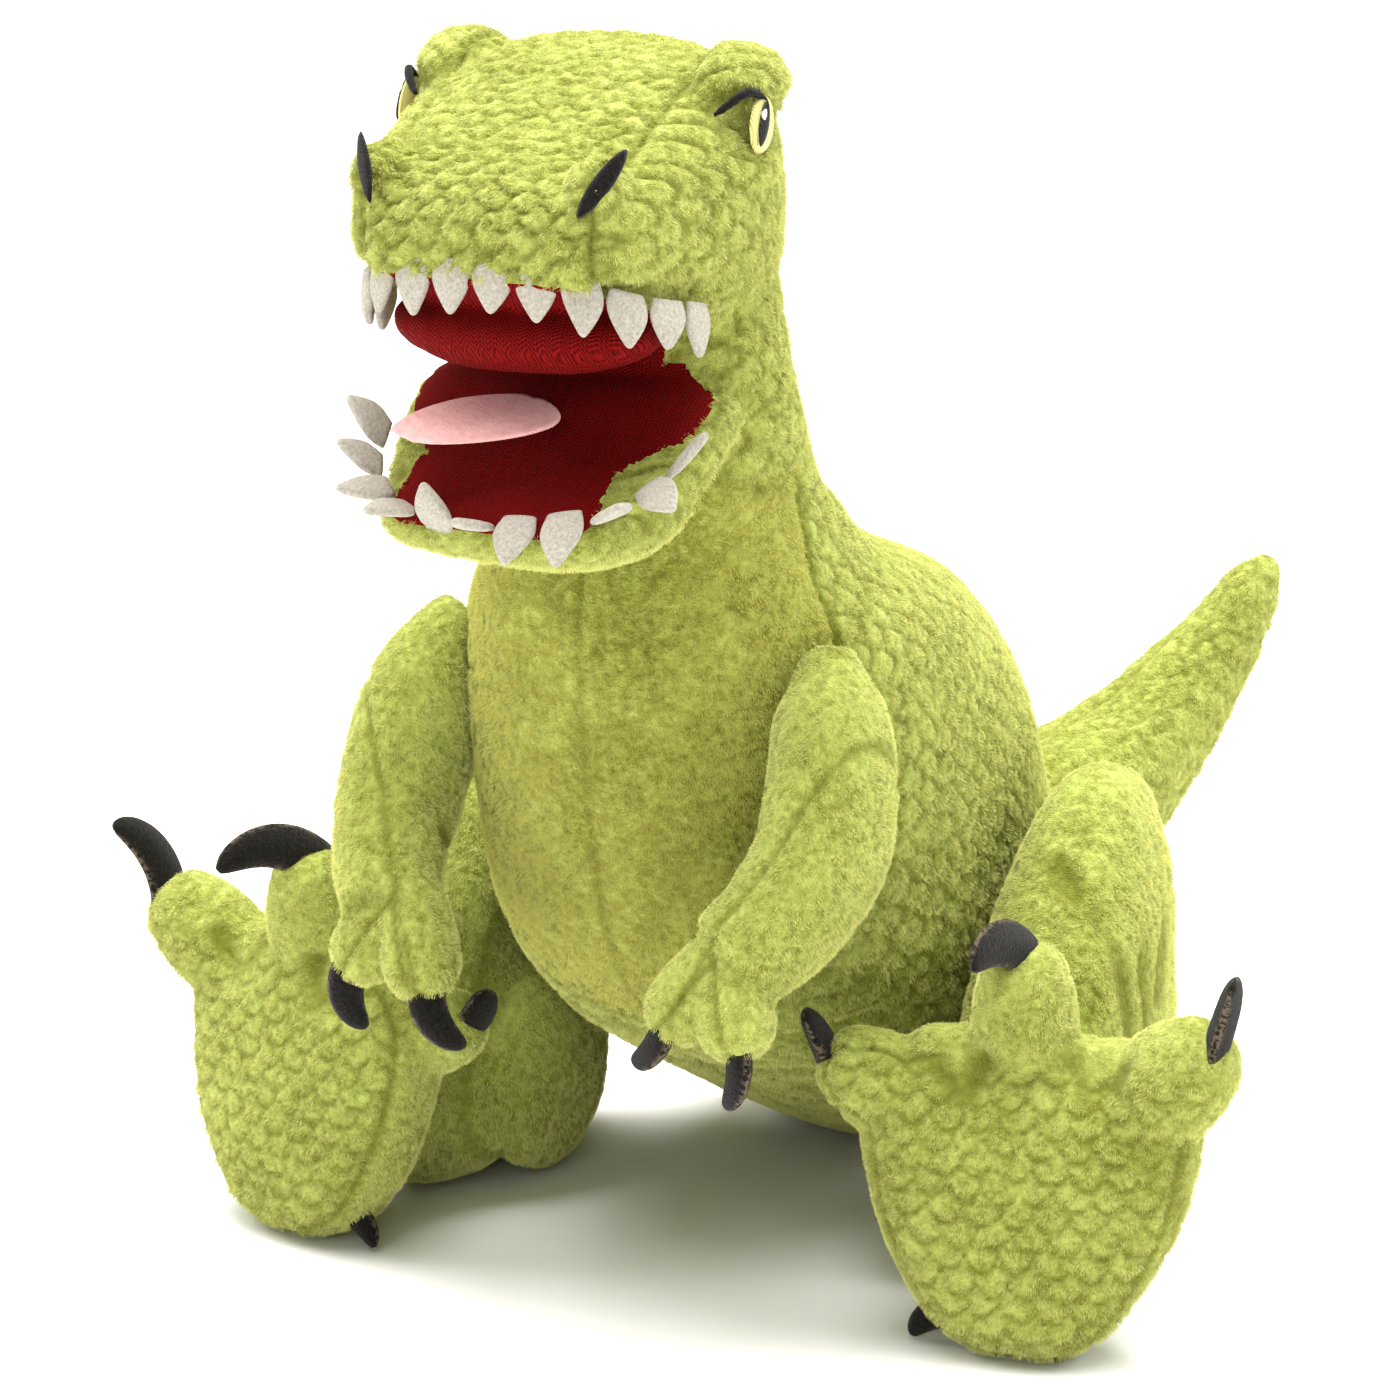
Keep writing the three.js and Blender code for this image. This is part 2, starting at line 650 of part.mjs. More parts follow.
for (const [side, word] of [[1, 'left'], [-1, 'right']]) {
  const outer = armBody(side, 0);
  const skin = outer.subtract(armBody(side, CLOTH));
  const seamPoint = onSide(side, 80, -98, 173);
  const seamNormal = onSide(side, 0.9, -0.3, -0.3).normalize();
  const outerEdge = seamPoint.clone().addScaledVector(seamNormal, GAP / 2);
  const innerEdge = seamPoint.clone().addScaledVector(seamNormal, -GAP / 2);
  const outerHalf = halfSpace(outerEdge, seamNormal);
  const innerHalf = halfSpace(innerEdge, seamNormal.clone().negate());
  addPiece(`arm_outer_panel_${word}`, skin.intersect(outerHalf), plush);
  addPiece(`arm_inner_panel_${word}`, skin.intersect(innerHalf), plush);
  addPiece(`arm_filling_${word}`, armBody(side, CLOTH + 3 * GAP), wadding);
  for (const finger of hands.get(side)) {
    const root = onSide(side, ...finger.root);
    const tip = onSide(side, ...finger.tip);
    const along = tip.clone().sub(root).normalize().addScaledVector(Z, -1).normalize();
    const towards = onSide(side, ...FINGER_CLAW.curl);
    towards.addScaledVector(along, -towards.dot(along)).normalize();
    tip.addScaledVector(along, FINGER_CLAW.lift);
    const horn = claw(tip, along, towards, FINGER_CLAW_LENGTH, FINGER_CLAW);
    addPiece(`finger_claw_${finger.word}_${word}`, cut(horn, armBody(side, -GAP)), blackFelt);
  }
}

// ---- Legs: thigh skin and filling ----------------------------------------------------------

// Distance back, underside, top, inner and outer side of the left thigh.
const thighDepths = [
  [-28, 8, 92, 98, 150],
  [-8, 2, 128, 90, 153],
  [16, 0, 156, 90, 151],
  [42, 0, 174, 90, 147],
  [66, 2, 172, 90, 141],
  [84, 14, 156, 90, 133],
  [96, 42, 132, 90, 123],
  [101, 66, 108, 97, 113],
];

// Directions of a foot: out of its sole, across it, and up along it.
function footAxes(side) {
  const splay = radians(FOOT_SPLAY);
  const lean = radians(FOOT_LEAN);
  const level = Math.cos(lean);
  const out = onSide(side, Math.sin(splay) * level, -Math.cos(splay) * level, Math.sin(lean));
  const across = onSide(side, Math.cos(splay), Math.sin(splay), 0);
  const tip = Math.sin(lean);
  const up = onSide(side, -Math.sin(splay) * tip, Math.cos(splay) * tip, level);
  return { out, across, up };
}

// A point of a foot: across it from the inside out, up it, and behind its sole face.
function footPoint(side, across, up, behind) {
  const axes = footAxes(side);
  return HEELS.get(side).clone()
    .addScaledVector(axes.across, across)
    .addScaledVector(axes.up, up)
    .addScaledVector(axes.out, -behind);
}

function thighBody(side, inset) {
  const ankle = footPoint(side, 0, ANKLE_HEIGHT, ANKLE_DEPTH);
  const sections = thighDepths.map(([y, under, top, inner, outer]) => section(
    onSide(side, (inner + outer) / 2, Math.min(y, ankle.y + y), (under + top) / 2),
    X,
    Z,
    (outer - inner) / 2,
    (top - under) / 2,
    2.5,
  ));
  const { out, across } = footAxes(side);
  let thigh = stuffed(sections, LIMB_SIDES + 2, inset);
  for (const tip of [-ANKLE_SWING, ANKLE_SWING]) {
    const facing = out.clone().applyAxisAngle(across, radians(tip)).negate();
    thigh = thigh.intersect(halfSpace(ankle.clone().addScaledVector(facing, inset), facing));
  }
  const whole = joined(thigh, ball(ankle, ANKLE_BALL - inset, LIMB_SIDES));
  return whole.intersect(halfSpace(onSide(side, HIP.x + inset, 0, 0), X.clone().multiplyScalar(side)));
}

// ---- Feet: upper, sole, filling, three toes and four claws ----------------------------------

// Height up the foot, half width, and how far its front and back lie behind the sole face.
const footHeights = [
  [2, 17, 10, 34],
  [12, 33, 2, 43],
  [34, 47, 0, 46],
  [64, 57, 0, 46],
  [90, 57, 3, 44],
  [110, 38, 12, 34],
];
const SOLE_DEPTH = 11;            // how far the sole panel wraps back from its face
// Root and tip of each toe: across the foot, up it, and behind the sole face.
const middleToe = { word: 'middle', root: [-2, 104, 22], tip: [-3, 141, 8], half: 17 };
const outerToe = { word: 'outer', root: [38, 90, 20], tip: [64, 116, 4], half: 18 };
// The right foot's inner toe lies lower and further back, clear of the hand above it.
const toesOf = new Map([
  [1, [{ word: 'inner', root: [-37, 84, 24], tip: [-70, 99, 18], half: 16 }, middleToe, outerToe]],
  [-1, [{ word: 'inner', root: [-37, 80, 28], tip: [-68, 92, 34], half: 15 }, middleToe, outerToe]],
]);

function footBody(side, inset) {
  const axes = footAxes(side);
  const sections = footHeights.map(([height, halfWidth, front, back]) => section(
    footPoint(side, 0, height, (front + back) / 2),
    axes.across,
    axes.out,
    halfWidth,
    (back - front) / 2,
    2.6,
  ));
  return stuffed(sections, LIMB_SIDES + 2, inset);
}

function toeBody(side, toe) {
  const axes = footAxes(side);
  const root = footPoint(side, ...toe.root);
  const tip = footPoint(side, ...toe.tip);
  const along = tip.clone().sub(root).normalize();
  const across = axes.out.clone().cross(along).normalize();
  const front = along.clone().cross(across).normalize();
  const reach = root.distanceTo(tip);
  const steps = [[-0.3, 0.9], [0.3, 1.1], [0.8, 0.92], [1.02, 0.4]];
  const knuckles = steps.map(([t, size]) => section(
    root.clone().addScaledVector(along, t * reach),
    across,
    front,
    toe.half * size,
    toe.half * size,
  ));
  return stuffed(knuckles, LIMB_SIDES);
}

for (const [side, word] of [[1, 'left'], [-1, 'right']]) {
  const axes = footAxes(side);
  const thigh = thighBody(side, 0);
  const thighPanel = thigh.subtract(thighBody(side, CLOTH));
  // The side that is sewn to the torso stays open, which is where the filling goes in.
  const hipMouth = rollAlongX(onSide(side, HIP.x, HIP.y, HIP.z), 30, CLOTH + 1, 16);
  addPiece(`thigh_skin_${word}`, cut(thighPanel, hipMouth), plush);
  addPiece(`thigh_filling_${word}`, thighBody(side, CLOTH + GAP), wadding);

  const foot = footBody(side, 0);
  const footSkin = foot.subtract(footBody(side, CLOTH));
  const soleSide = halfSpace(footPoint(side, 0, 0, SOLE_DEPTH), axes.out);
  const upperSide = halfSpace(footPoint(side, 0, 0, SOLE_DEPTH + GAP), axes.out.clone().negate());
  addPiece(`sole_panel_${word}`, footSkin.intersect(soleSide), plush);
  addPiece(`foot_upper_${word}`, footSkin.intersect(upperSide), plush);
  addPiece(`foot_filling_${word}`, footBody(side, CLOTH + GAP), wadding);

  const footSwollen = footBody(side, -GAP);
  for (const toe of toesOf.get(side)) {
    const lobeOfToe = toeBody(side, toe);
    addPiece(`toe_${toe.word}_${word}`, cut(lobeOfToe, footSwollen), plush);
    const root = footPoint(side, ...toe.root);
    const tip = footPoint(side, ...toe.tip);
    const along = tip.clone().sub(root).normalize();
    const curl = axes.out.clone();
    if (toe.word === 'middle') {
      along.addScaledVector(axes.out, MIDDLE_CLAW_AIM.out);
      along.addScaledVector(X, -MIDDLE_CLAW_AIM.right).normalize();
      curl.addScaledVector(axes.up, -MIDDLE_CLAW_AIM.down);
    } else {
      along.addScaledVector(axes.up, SIDE_CLAW_RISE).normalize();
    }
    const towards = curl.addScaledVector(along, -curl.dot(along)).normalize();
    const length = toe.word === 'inner' ? INNER_CLAW_LENGTH : CLAW_LENGTH;
    tip.addScaledVector(along, TOE_CLAW.lift);
    const horn = claw(tip, along, towards, length, TOE_CLAW);
    addPiece(`toe_claw_${toe.word}_${word}`, cut(horn, lobeOfToe), blackFelt);
  }
  const heelRoot = footPoint(side, ...HEEL_CLAW.root);
  const inward = axes.across.clone().negate();
  const heelHorn = claw(heelRoot, inward, axes.up.clone().negate(), HEEL_CLAW_LENGTH, HEEL_CLAW);
  addPiece(`heel_claw_${word}`, cut(heelHorn, footSwollen), blackFelt);
}

dinosaur.position.copy(SEAT).negate();

export default dinosaur;
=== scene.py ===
# %% [markdown]
# # A seated plush dinosaur
# The toy is sewn from flat panels of short-pile plush and stuffed until they round out.
# This lesson builds it piece by piece over a frame that is already measured and jointed.
# The frame gives every place and every hinge. Blender adds the soft shapes and the cloth.

# %% Load the measured frame
import json
import math
import bmesh
import bpy
import numpy as np
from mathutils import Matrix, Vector, noise


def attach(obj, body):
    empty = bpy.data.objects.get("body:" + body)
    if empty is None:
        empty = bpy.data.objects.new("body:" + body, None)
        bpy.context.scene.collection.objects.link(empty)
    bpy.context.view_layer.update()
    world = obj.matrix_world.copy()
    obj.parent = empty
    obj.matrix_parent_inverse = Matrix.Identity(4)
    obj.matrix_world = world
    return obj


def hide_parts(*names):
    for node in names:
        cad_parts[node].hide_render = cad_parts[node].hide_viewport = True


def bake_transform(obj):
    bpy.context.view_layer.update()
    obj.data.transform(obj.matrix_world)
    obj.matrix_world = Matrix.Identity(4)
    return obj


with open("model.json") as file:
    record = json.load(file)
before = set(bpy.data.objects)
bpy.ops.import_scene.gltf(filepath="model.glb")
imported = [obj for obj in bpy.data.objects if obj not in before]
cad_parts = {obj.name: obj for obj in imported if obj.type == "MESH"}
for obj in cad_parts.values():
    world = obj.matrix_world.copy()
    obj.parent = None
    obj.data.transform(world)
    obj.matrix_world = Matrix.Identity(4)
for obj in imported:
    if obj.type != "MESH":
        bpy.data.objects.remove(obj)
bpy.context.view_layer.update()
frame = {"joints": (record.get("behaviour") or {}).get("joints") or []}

# %% [markdown]
# ## Pattern measures
# A soft-toy maker works in millimetres on a pattern, and the frame is in metres.
# The neck hinge is known in both, so the step between them gives the shift.
# Every shape below is made in pattern millimetres and moved into the frame at the end.

# %% Pattern measures
MM = 0.001
joints = {joint["name"]: joint for joint in frame["joints"]}
NECK = np.array([0.0, -64.0, 300.0])
SHIFT = np.array(joints["neck_nod"]["pos_m"]) - NECK * MM


def in_frame(point):
    """A pattern point, in the frame's metres."""
    return Vector(np.asarray(point, float) * MM + SHIFT)


def in_pattern(joint_name):
    """A hinge's place, in pattern millimetres."""
    return (np.array(joints[joint_name]["pos_m"]) - SHIFT) / MM


print("pattern shift in metres:", np.round(SHIFT, 4))

# %% [markdown]
# ## Stuffed shapes
# A stuffed panel has a round cross-section that swells and narrows along its length.
# It could be sculpted by hand. A table of cross-sections is easier to measure and change.
# A smooth curve is drawn through the rows, so that few rows are enough.

# %% Stuffed shapes
AXIS_X = np.array([1.0, 0.0, 0.0])
AXIS_Y = np.array([0.0, 1.0, 0.0])
AXIS_Z = np.array([0.0, 0.0, 1.0])
BODY_SIDES = 64  # points around the body's large cross-sections


def unit(vector):
    """The same direction, with length one."""
    vector = np.asarray(vector, float)
    return vector / np.linalg.norm(vector)


def smooth_rows(rows, steps=5):
    """A pattern table with smooth rows filled in between the given ones."""
    rows = np.asarray(rows, float)
    first = 2 * rows[0] - rows[1]
    last = 2 * rows[-1] - rows[-2]
    padded = np.vstack([first, rows, last])
    filled = []
    for i in range(len(rows) - 1):
        before, start, end, after = padded[i:i + 4]
        for k in range(steps):
            t = k / steps
            filled.append(0.5 * (
                2 * start
                + (end - before) * t
                + (2 * before - 5 * start + 4 * end - after) * t ** 2
                + (3 * start - before - 3 * end + after) * t ** 3
            ))
    filled.append(rows[-1])
    return np.array(filled)


def loft(centres, across, up, half_across, half_up, roundness=2.2, sides=40):
    """A closed skin through rings. Roundness 2 is an ellipse, and more is boxier."""
    angles = np.linspace(0, 2 * np.pi, sides, endpoint=False)
    cosines, sines = np.cos(angles), np.sin(angles)
    reach = (np.abs(cosines) ** roundness + np.abs(sines) ** roundness) ** (-1 / roundness)
    count = len(centres)
    across = np.broadcast_to(across, (count, 3))
    up = np.broadcast_to(up, (count, 3))
    points = []
    for i in range(count):
        ring = np.outer(max(half_across[i], 0.2) * cosines * reach, across[i])
        ring += np.outer(max(half_up[i], 0.2) * sines * reach, up[i])
        points.append(centres[i] + ring)
    points = np.vstack(points + [centres[:1], centres[-1:]])
    faces = []
    for r in range(count - 1):
        for i in range(sides):
            after = (i + 1) % sides
            faces.append((r * sides + i, r * sides + after,
                          (r + 1) * sides + after, (r + 1) * sides + i))
    start, end = count * sides, count * sides + 1
    for i in range(sides):
        after = (i + 1) % sides
        faces.append((start, after, i))
        faces.append((end, (count - 1) * sides + i, (count - 1) * sides + after))
    return points, faces


def upright_loft(rows, roundness):
    """A shape from rows of height, front, back and half width."""
    height, front, back, half = smooth_rows(rows).T
    centres = np.stack([np.zeros_like(height), (front + back) / 2, height], 1)
    return loft(centres, AXIS_X, AXIS_Y, half, (back - front) / 2, roundness, BODY_SIDES)


def level_loft(rows, roundness):
    """A shape from rows of distance back, underside, top and half width."""
    back, under, top, half = smooth_rows(rows).T
    centres = np.stack([np.zeros_like(back), back, (under + top) / 2], 1)
    return loft(centres, AXIS_X, AXIS_Z, half, (top - under) / 2, roundness, BODY_SIDES)


def limb_loft(centres, half_across, half_up, guide, roundness=2.2, sides=32):
    """A shape along a line. Guide is the direction that its width lies closest to."""
    along = np.gradient(centres, axis=0)
    along /= np.linalg.norm(along, axis=1)[:, None]
    across = guide - along * (along @ guide)[:, None]
    across /= np.linalg.norm(across, axis=1)[:, None]
    up = np.cross(along, across)
    return loft(centres, across, up, half_across, half_up, roundness, sides)


def ball(centre, radii):
    """A rounded lump with its own radius along x, y and z."""
    angles = np.linspace(0.06, np.pi - 0.06, 13)
    centres = np.asarray(centre, float) - np.outer(np.cos(angles) * radii[2], AXIS_Z)
    return loft(centres, AXIS_X, AXIS_Y, radii[0] * np.sin(angles), radii[1] * np.sin(angles), 2, 24)


print("shape helpers ready")

# %% [markdown]
# ## Sewing shapes into one skin
# Where two stuffed parts are sewn together the cloth runs on without a step.
# A boolean union would leave a sharp crease, so the parts are wrapped by a voxel remesh.
# A few rounds of smoothing then do what the filling does: they ease the hollows out.

# %% Sewing shapes into one skin
def new_object(name, points, faces):
    """A mesh object made of points and faces."""
    mesh = bpy.data.meshes.new(name)
    mesh.from_pydata(np.asarray(points).tolist(), [], [list(face) for face in faces])
    mesh.update()
    piece = bpy.data.objects.new(name, mesh)
    bpy.context.scene.collection.objects.link(piece)
    return piece


def merged(parts):
    """Several point and face lists as one."""
    points, faces, offset = [], [], 0
    for part_points, part_faces in parts:
        points.append(part_points)
        faces += [tuple(index + offset for index in face) for face in part_faces]
        offset += len(part_points)
    return np.vstack(points), faces


def wrapped(name, parts, voxel, rounds):
    """One smooth skin around all the parts."""
    piece = new_object(name, *merged(parts))
    remesh = piece.modifiers.new("wrap", "REMESH")
    remesh.mode = "VOXEL"
    remesh.voxel_size = voxel
    ease = piece.modifiers.new("ease", "SMOOTH")
    ease.factor = 0.5
    ease.iterations = rounds
    bpy.context.view_layer.update()
    evaluated = piece.evaluated_get(bpy.context.evaluated_depsgraph_get())
    skin = bpy.data.meshes.new_from_object(evaluated)
    piece.modifiers.clear()
    piece.data = skin
    print(name, "wrapped:", len(skin.vertices), "points")
    return piece


def points_of(piece):
    """The piece's points, as an array."""
    points = np.empty(len(piece.data.vertices) * 3)
    piece.data.vertices.foreach_get("co", points)
    return points.reshape(-1, 3)


def normals_of(piece):
    """The direction that the cloth faces at each point."""
    normals = np.empty(len(piece.data.vertices) * 3)
    piece.data.vertices.foreach_get("normal", normals)
    return normals.reshape(-1, 3)


def move_points(piece, points):
    """Puts changed points back into the piece."""
    piece.data.vertices.foreach_set("co", np.asarray(points, float).ravel())
    piece.data.update()


print("sewing helpers ready")

# %% [markdown]
# ## Pressed cloth and seams
# The plush on the snout and soles is heat-pressed with rows of overlapping scales.
# On the cheeks, neck, back and tail the same cloth is turned so the rows run upright.
# A bump map alone would vanish from a printed copy, so the pattern moves real points.
# The same value is kept on the mesh, to shorten the pile in the grooves and to paint shade into them.

# %% Pressed cloth and seams
SCALE_WIDTH = 12.0
SCALE_ROW = 8.0
GROOVE_WIDTH = 1.25


def soft_step(value, low, high):
    """Zero below low, one above high, and smooth between."""
    t = np.clip((value - low) / (high - low), 0, 1)
    return t * t * (3 - 2 * t)


def wander(points, size, seed):
    """Smooth random values from -1 to 1, with lumps of the given size."""
    start = Vector((seed * 17.3, seed * 5.1, seed * 9.7))
    return np.array([noise.noise(Vector(point) / size + start) for point in points.tolist()])


def scale_grooves(u, v):
    """One in the groove under each overlapping scale, and zero on its face."""
    row_place = v / SCALE_ROW
    row = np.floor(row_place)
    best = np.full(len(u), 9.0)
    for step in (-1, 0, 1):
        this_row = row + step
        place = u / SCALE_WIDTH + 0.5 * (this_row % 2) + 0.13 * np.sin(this_row * 2.7)
        side = 2 * (place - np.floor(place)) - 1
        edge = this_row + 0.95 * np.sqrt(np.clip(1 - side ** 2, 0, 1))
        best = np.minimum(best, np.abs(row_place - edge))
    return np.exp(-(best * SCALE_ROW / GROOVE_WIDTH) ** 2)


def crease(points, path, width):
    """One along a path of pattern points, fading to zero over the width."""
    path = np.asarray(path, float)
    nearest = np.full(len(points), 1e9)
    for start, end in zip(path[:-1], path[1:]):
        line = end - start
        t = np.clip((points - start) @ line / (line @ line), 0, 1)
        nearest = np.minimum(nearest, np.linalg.norm(points - start - t[:, None] * line, axis=1))
    return np.exp(-(nearest / width) ** 2)


def mark(piece, name, values):
    """Keeps one value for each point on the mesh, for a material or the pile to read."""
    layer = piece.data.attributes.new(name, "FLOAT", "POINT")
    layer.data.foreach_set("value", np.asarray(values, np.float32))


def emboss(piece, seams, seam_depth, lumps, seed, pressed=0.0, pressed_depth=0.0):
    """Pulls the seams into the cloth, over uneven filling, and presses any grooves given.

    Large and small lumps are the filling's, and the finest are tufts of pile.
    """
    points = points_of(piece)
    lump = lumps * wander(points, 26, seed) + 0.4 * lumps * wander(points, 9, seed + 1)
    tuft = 0.16 * wander(points, 3.2, seed + 2)
    height = lump + tuft - pressed_depth * pressed - seam_depth * seams
    move_points(piece, points + normals_of(piece) * height[:, None])
    groove = np.clip(np.maximum(pressed, seams), 0, 1)
    mark(piece, "pressed", groove)
    # A colour layer of painted shade, darkest in the grooves and seams, for the pile's colour to read.
    painted_shade_layer = piece.data.color_attributes.new("painted_groove_shade", "BYTE_COLOR", "CORNER")
    corners = np.empty(len(piece.data.loops), int)
    piece.data.loops.foreach_get("vertex_index", corners)
    shade = np.repeat(groove[corners, None], 4, axis=1)
    painted_shade_layer.data.foreach_set("color", shade.astype(np.float32).ravel())


print("cloth helpers ready")

# %% [markdown]
# ## The body, neck, head and jaw
# On the real toy one side panel runs from the rump over the back and neck to the cheek.
# Four stuffed shapes are wrapped as one skin, so that cloth runs on without a break.
# Small lumps are added where the maker put in tucks: brows, eyelids and nostril folds.

# %% The body, neck, head and jaw
TORSO = [  # height, front, back, half width
    [0, 102, 160, 36], [5, 90, 172, 47], [20, 60, 182, 61], [42, 20, 184, 74],
    [62, -16, 182, 82], [84, -52, 178, 88], [106, -76, 173, 91], [130, -94, 164, 91],
    [152, -103, 150, 90], [188, -111, 132, 89], [218, -115, 106, 85], [242, -116, 72, 78],
    [262, -114, 20, 65], [284, -112, -8, 58],
]
NECK_ROWS = [  # height, front, back, half width
    [262, -108, 6, 60], [284, -114, -10, 57], [300, -120, -22, 57], [318, -124, -34, 58],
    [342, -128, -46, 58], [366, -128, -52, 56],
]
HEAD = [  # distance back, underside, top, half width
    [-183, 374, 393, 35], [-178, 369, 403, 45], [-166, 364, 413, 52], [-150, 359, 421, 58],
    [-136, 354, 429, 62], [-118, 347, 437, 65], [-97, 340, 442, 63], [-78, 338, 440, 56],
    [-60, 344, 428, 45], [-47, 358, 406, 29],
]
JAW_ROWS = [  # distance back, underside, top, half width
    [-180, 289, 298, 30], [-174, 284, 302, 39], [-160, 280, 309, 47], [-145, 281, 319, 53],
    [-130, 290, 335, 57], [-114, 303, 341, 57], [-98, 306, 340, 52],
]
HEAD_LUMPS = [  # centre on the left side, and radii
    ((50, -99, 429), (16, 21, 14)),  # brow
    ((61, -110, 405), (8, 15, 7)),  # lower eyelid
    ((39, -169, 403), (10, 13, 12)),  # nostril fold
]
PALATE_PAD = ((0, -147, 355), (48, 30, 15))
body_parts = [
    upright_loft(TORSO, 2.15),
    upright_loft(NECK_ROWS, 2.2),
    level_loft(HEAD, 2.7),
    level_loft(JAW_ROWS, 2.7),
]
for side in (1, -1):
    for (x, y, z), radii in HEAD_LUMPS:
        body_parts.append(ball((side * x, y, z), radii))
body_parts.append(ball(*PALATE_PAD))
body = wrapped("body", body_parts, voxel=2.0, rounds=5)

# %% [markdown]
# ## Cutting the skin into its panels
# The panels meet along seams, so the mesh is first cut along the same lines.
# Deleting faces alone would leave a stepped edge. A plane cut leaves a straight one.
# Cuts are kept to the part of the body that the seam really crosses.

# %% Cutting the skin into its panels
LIP_POINT, LIP_NORMAL = np.array([0, -136, 360.0]), unit([0, -0.3, -0.954])
FLOOR_POINT, FLOOR_NORMAL = np.array([0, -184, 291.0]), unit([0, -0.521, 0.854])
PALATE_BACK = -121
JAW_BACK = -117
MOUTH_MIDDLE = 341
BELLY_SEAM_Y = -66
BELLY_TOP = 300
SNOUT_SEAM_X = 42
SNOUT_BACK = -62
SNOUT_LOW = 362
SNOUT_CUT_LOW = 340
PALATE_LOW, PALATE_HIGH = 330, 372
CHIN_LOW = 276
FLOOR_LOW = 284
SEAT_HEIGHT = 3.4
MARGIN = 5  # how far a cut runs past the end of its seam


def cut_along(piece, point, normal, keep_to):
    """Adds an edge line where a plane crosses the faces that keep_to picks."""
    work = bmesh.new()
    work.from_mesh(piece.data)
    faces = [face for face in work.faces if keep_to(face.calc_center_median())]
    near = set(faces)
    for face in faces:
        near.update(face.edges)
        near.update(face.verts)
    bmesh.ops.bisect_plane(work, geom=list(near), plane_co=Vector(point), plane_no=Vector(normal))
    work.to_mesh(piece.data)
    work.free()


cuts = [
    (LIP_POINT, LIP_NORMAL, lambda c: c.y < PALATE_BACK + MARGIN and c.z > MOUTH_MIDDLE - MARGIN),
    (FLOOR_POINT, FLOOR_NORMAL,
     lambda c: c.y < JAW_BACK + MARGIN and FLOOR_LOW < c.z < MOUTH_MIDDLE + MARGIN),
    ((0, PALATE_BACK, 0), AXIS_Y, lambda c: PALATE_LOW < c.z < PALATE_HIGH),
    ((0, JAW_BACK, 0), AXIS_Y, lambda c: CHIN_LOW < c.z < MOUTH_MIDDLE + MARGIN),
    ((0, 0, MOUTH_MIDDLE), AXIS_Z, lambda c: c.y < JAW_BACK + MARGIN),
    ((0, BELLY_SEAM_Y, 0), AXIS_Y, lambda c: c.z < BELLY_TOP + MARGIN),
    ((0, 0, BELLY_TOP), AXIS_Z, lambda c: c.y < BELLY_SEAM_Y + MARGIN),
    ((SNOUT_SEAM_X, 0, 0), AXIS_X, lambda c: c.y < SNOUT_BACK + MARGIN and c.z > SNOUT_CUT_LOW),
    ((-SNOUT_SEAM_X, 0, 0), AXIS_X, lambda c: c.y < SNOUT_BACK + MARGIN and c.z > SNOUT_CUT_LOW),
    ((0, SNOUT_BACK, 0), AXIS_Y, lambda c: c.z > SNOUT_LOW),
    ((0, 0, 0), AXIS_X, lambda c: c.y > SNOUT_BACK - MARGIN or c.z < SNOUT_LOW),
    ((0, 0, SEAT_HEIGHT), AXIS_Z, lambda c: c.z < SEAT_HEIGHT + MARGIN),
]
for point, normal, keep_to in cuts:
    cut_along(body, point, normal, keep_to)


def body_panel_of(p):
    """The panel that each point of the body lies in, as a name."""
    x, y, z = p.T
    names = np.where(x > 0, "side_cover_left", "side_cover_right").astype(object)
    names[(y < BELLY_SEAM_Y) & (z < BELLY_TOP)] = "belly_cover"
    names[(z < SEAT_HEIGHT)] = "seat_cover"
    names[(np.abs(x) < SNOUT_SEAM_X) & (y < SNOUT_BACK) & (z > SNOUT_LOW)] = "snout_cover"
    mouth_top = ((p - LIP_POINT) @ LIP_NORMAL > 0) & (y < PALATE_BACK) & (z > MOUTH_MIDDLE)
    names[mouth_top] = "palate_cover"
    jaw = (y < JAW_BACK) & (z < MOUTH_MIDDLE) & (z > CHIN_LOW)
    names[jaw] = "chin_cover"
    names[jaw & ((p - FLOOR_POINT) @ FLOOR_NORMAL > 0)] = "mouth_floor_cover"
    return names


print("body cut along", len(cuts), "lines:", len(body.data.vertices), "points")

# %% [markdown]
# ## The body's pressed pattern, seams and folds
# Each seam draws the cloth in, so the points near it sink. Folds of loose cloth sink too.
# The pattern is strongest on the snout and faint where the cloth is turned upright.

# %% The body's pressed pattern, seams and folds
UPRIGHT_STRENGTH = 0.85
CHEEK_FOLD, BELLY_FOLD, BROW_FOLD = 3.0, 3.0, 2.0  # depths
p = points_of(body)
x, y, z = p.T
wobble = 1.6 * wander(p, 16, 31)
on_snout = soft_step(SNOUT_SEAM_X - np.abs(x), 0, 3) * soft_step(-y, 66, 76) * soft_step(z, 360, 366)
on_belly = soft_step(-y, 64, 70) * (1 - soft_step(z, 286, 300))
on_upright = (1 - on_snout) * (1 - on_belly) * soft_step(z, 20, 60)
in_mouth = soft_step((p - LIP_POINT) @ LIP_NORMAL, -1, 2) * (y < PALATE_BACK) * (z > MOUTH_MIDDLE)
in_jaw = (y < JAW_BACK) * (z < MOUTH_MIDDLE) * (z > CHIN_LOW)
in_floor = soft_step((p - FLOOR_POINT) @ FLOOR_NORMAL, -1, 2) * in_jaw
lined = np.clip(in_mouth + in_floor, 0, 1)
snout_scales = scale_grooves(x + wobble, -y - z + wobble)
upright_scales = scale_grooves(z + 2 * wobble, y - 0.9 * np.abs(x) + wobble)
pressed = (snout_scales * on_snout + UPRIGHT_STRENGTH * upright_scales * on_upright) * (1 - lined)


def seam_line(distance, width, where):
    """One along a seam, zero away from it."""
    return np.exp(-(distance / width) ** 2) * where


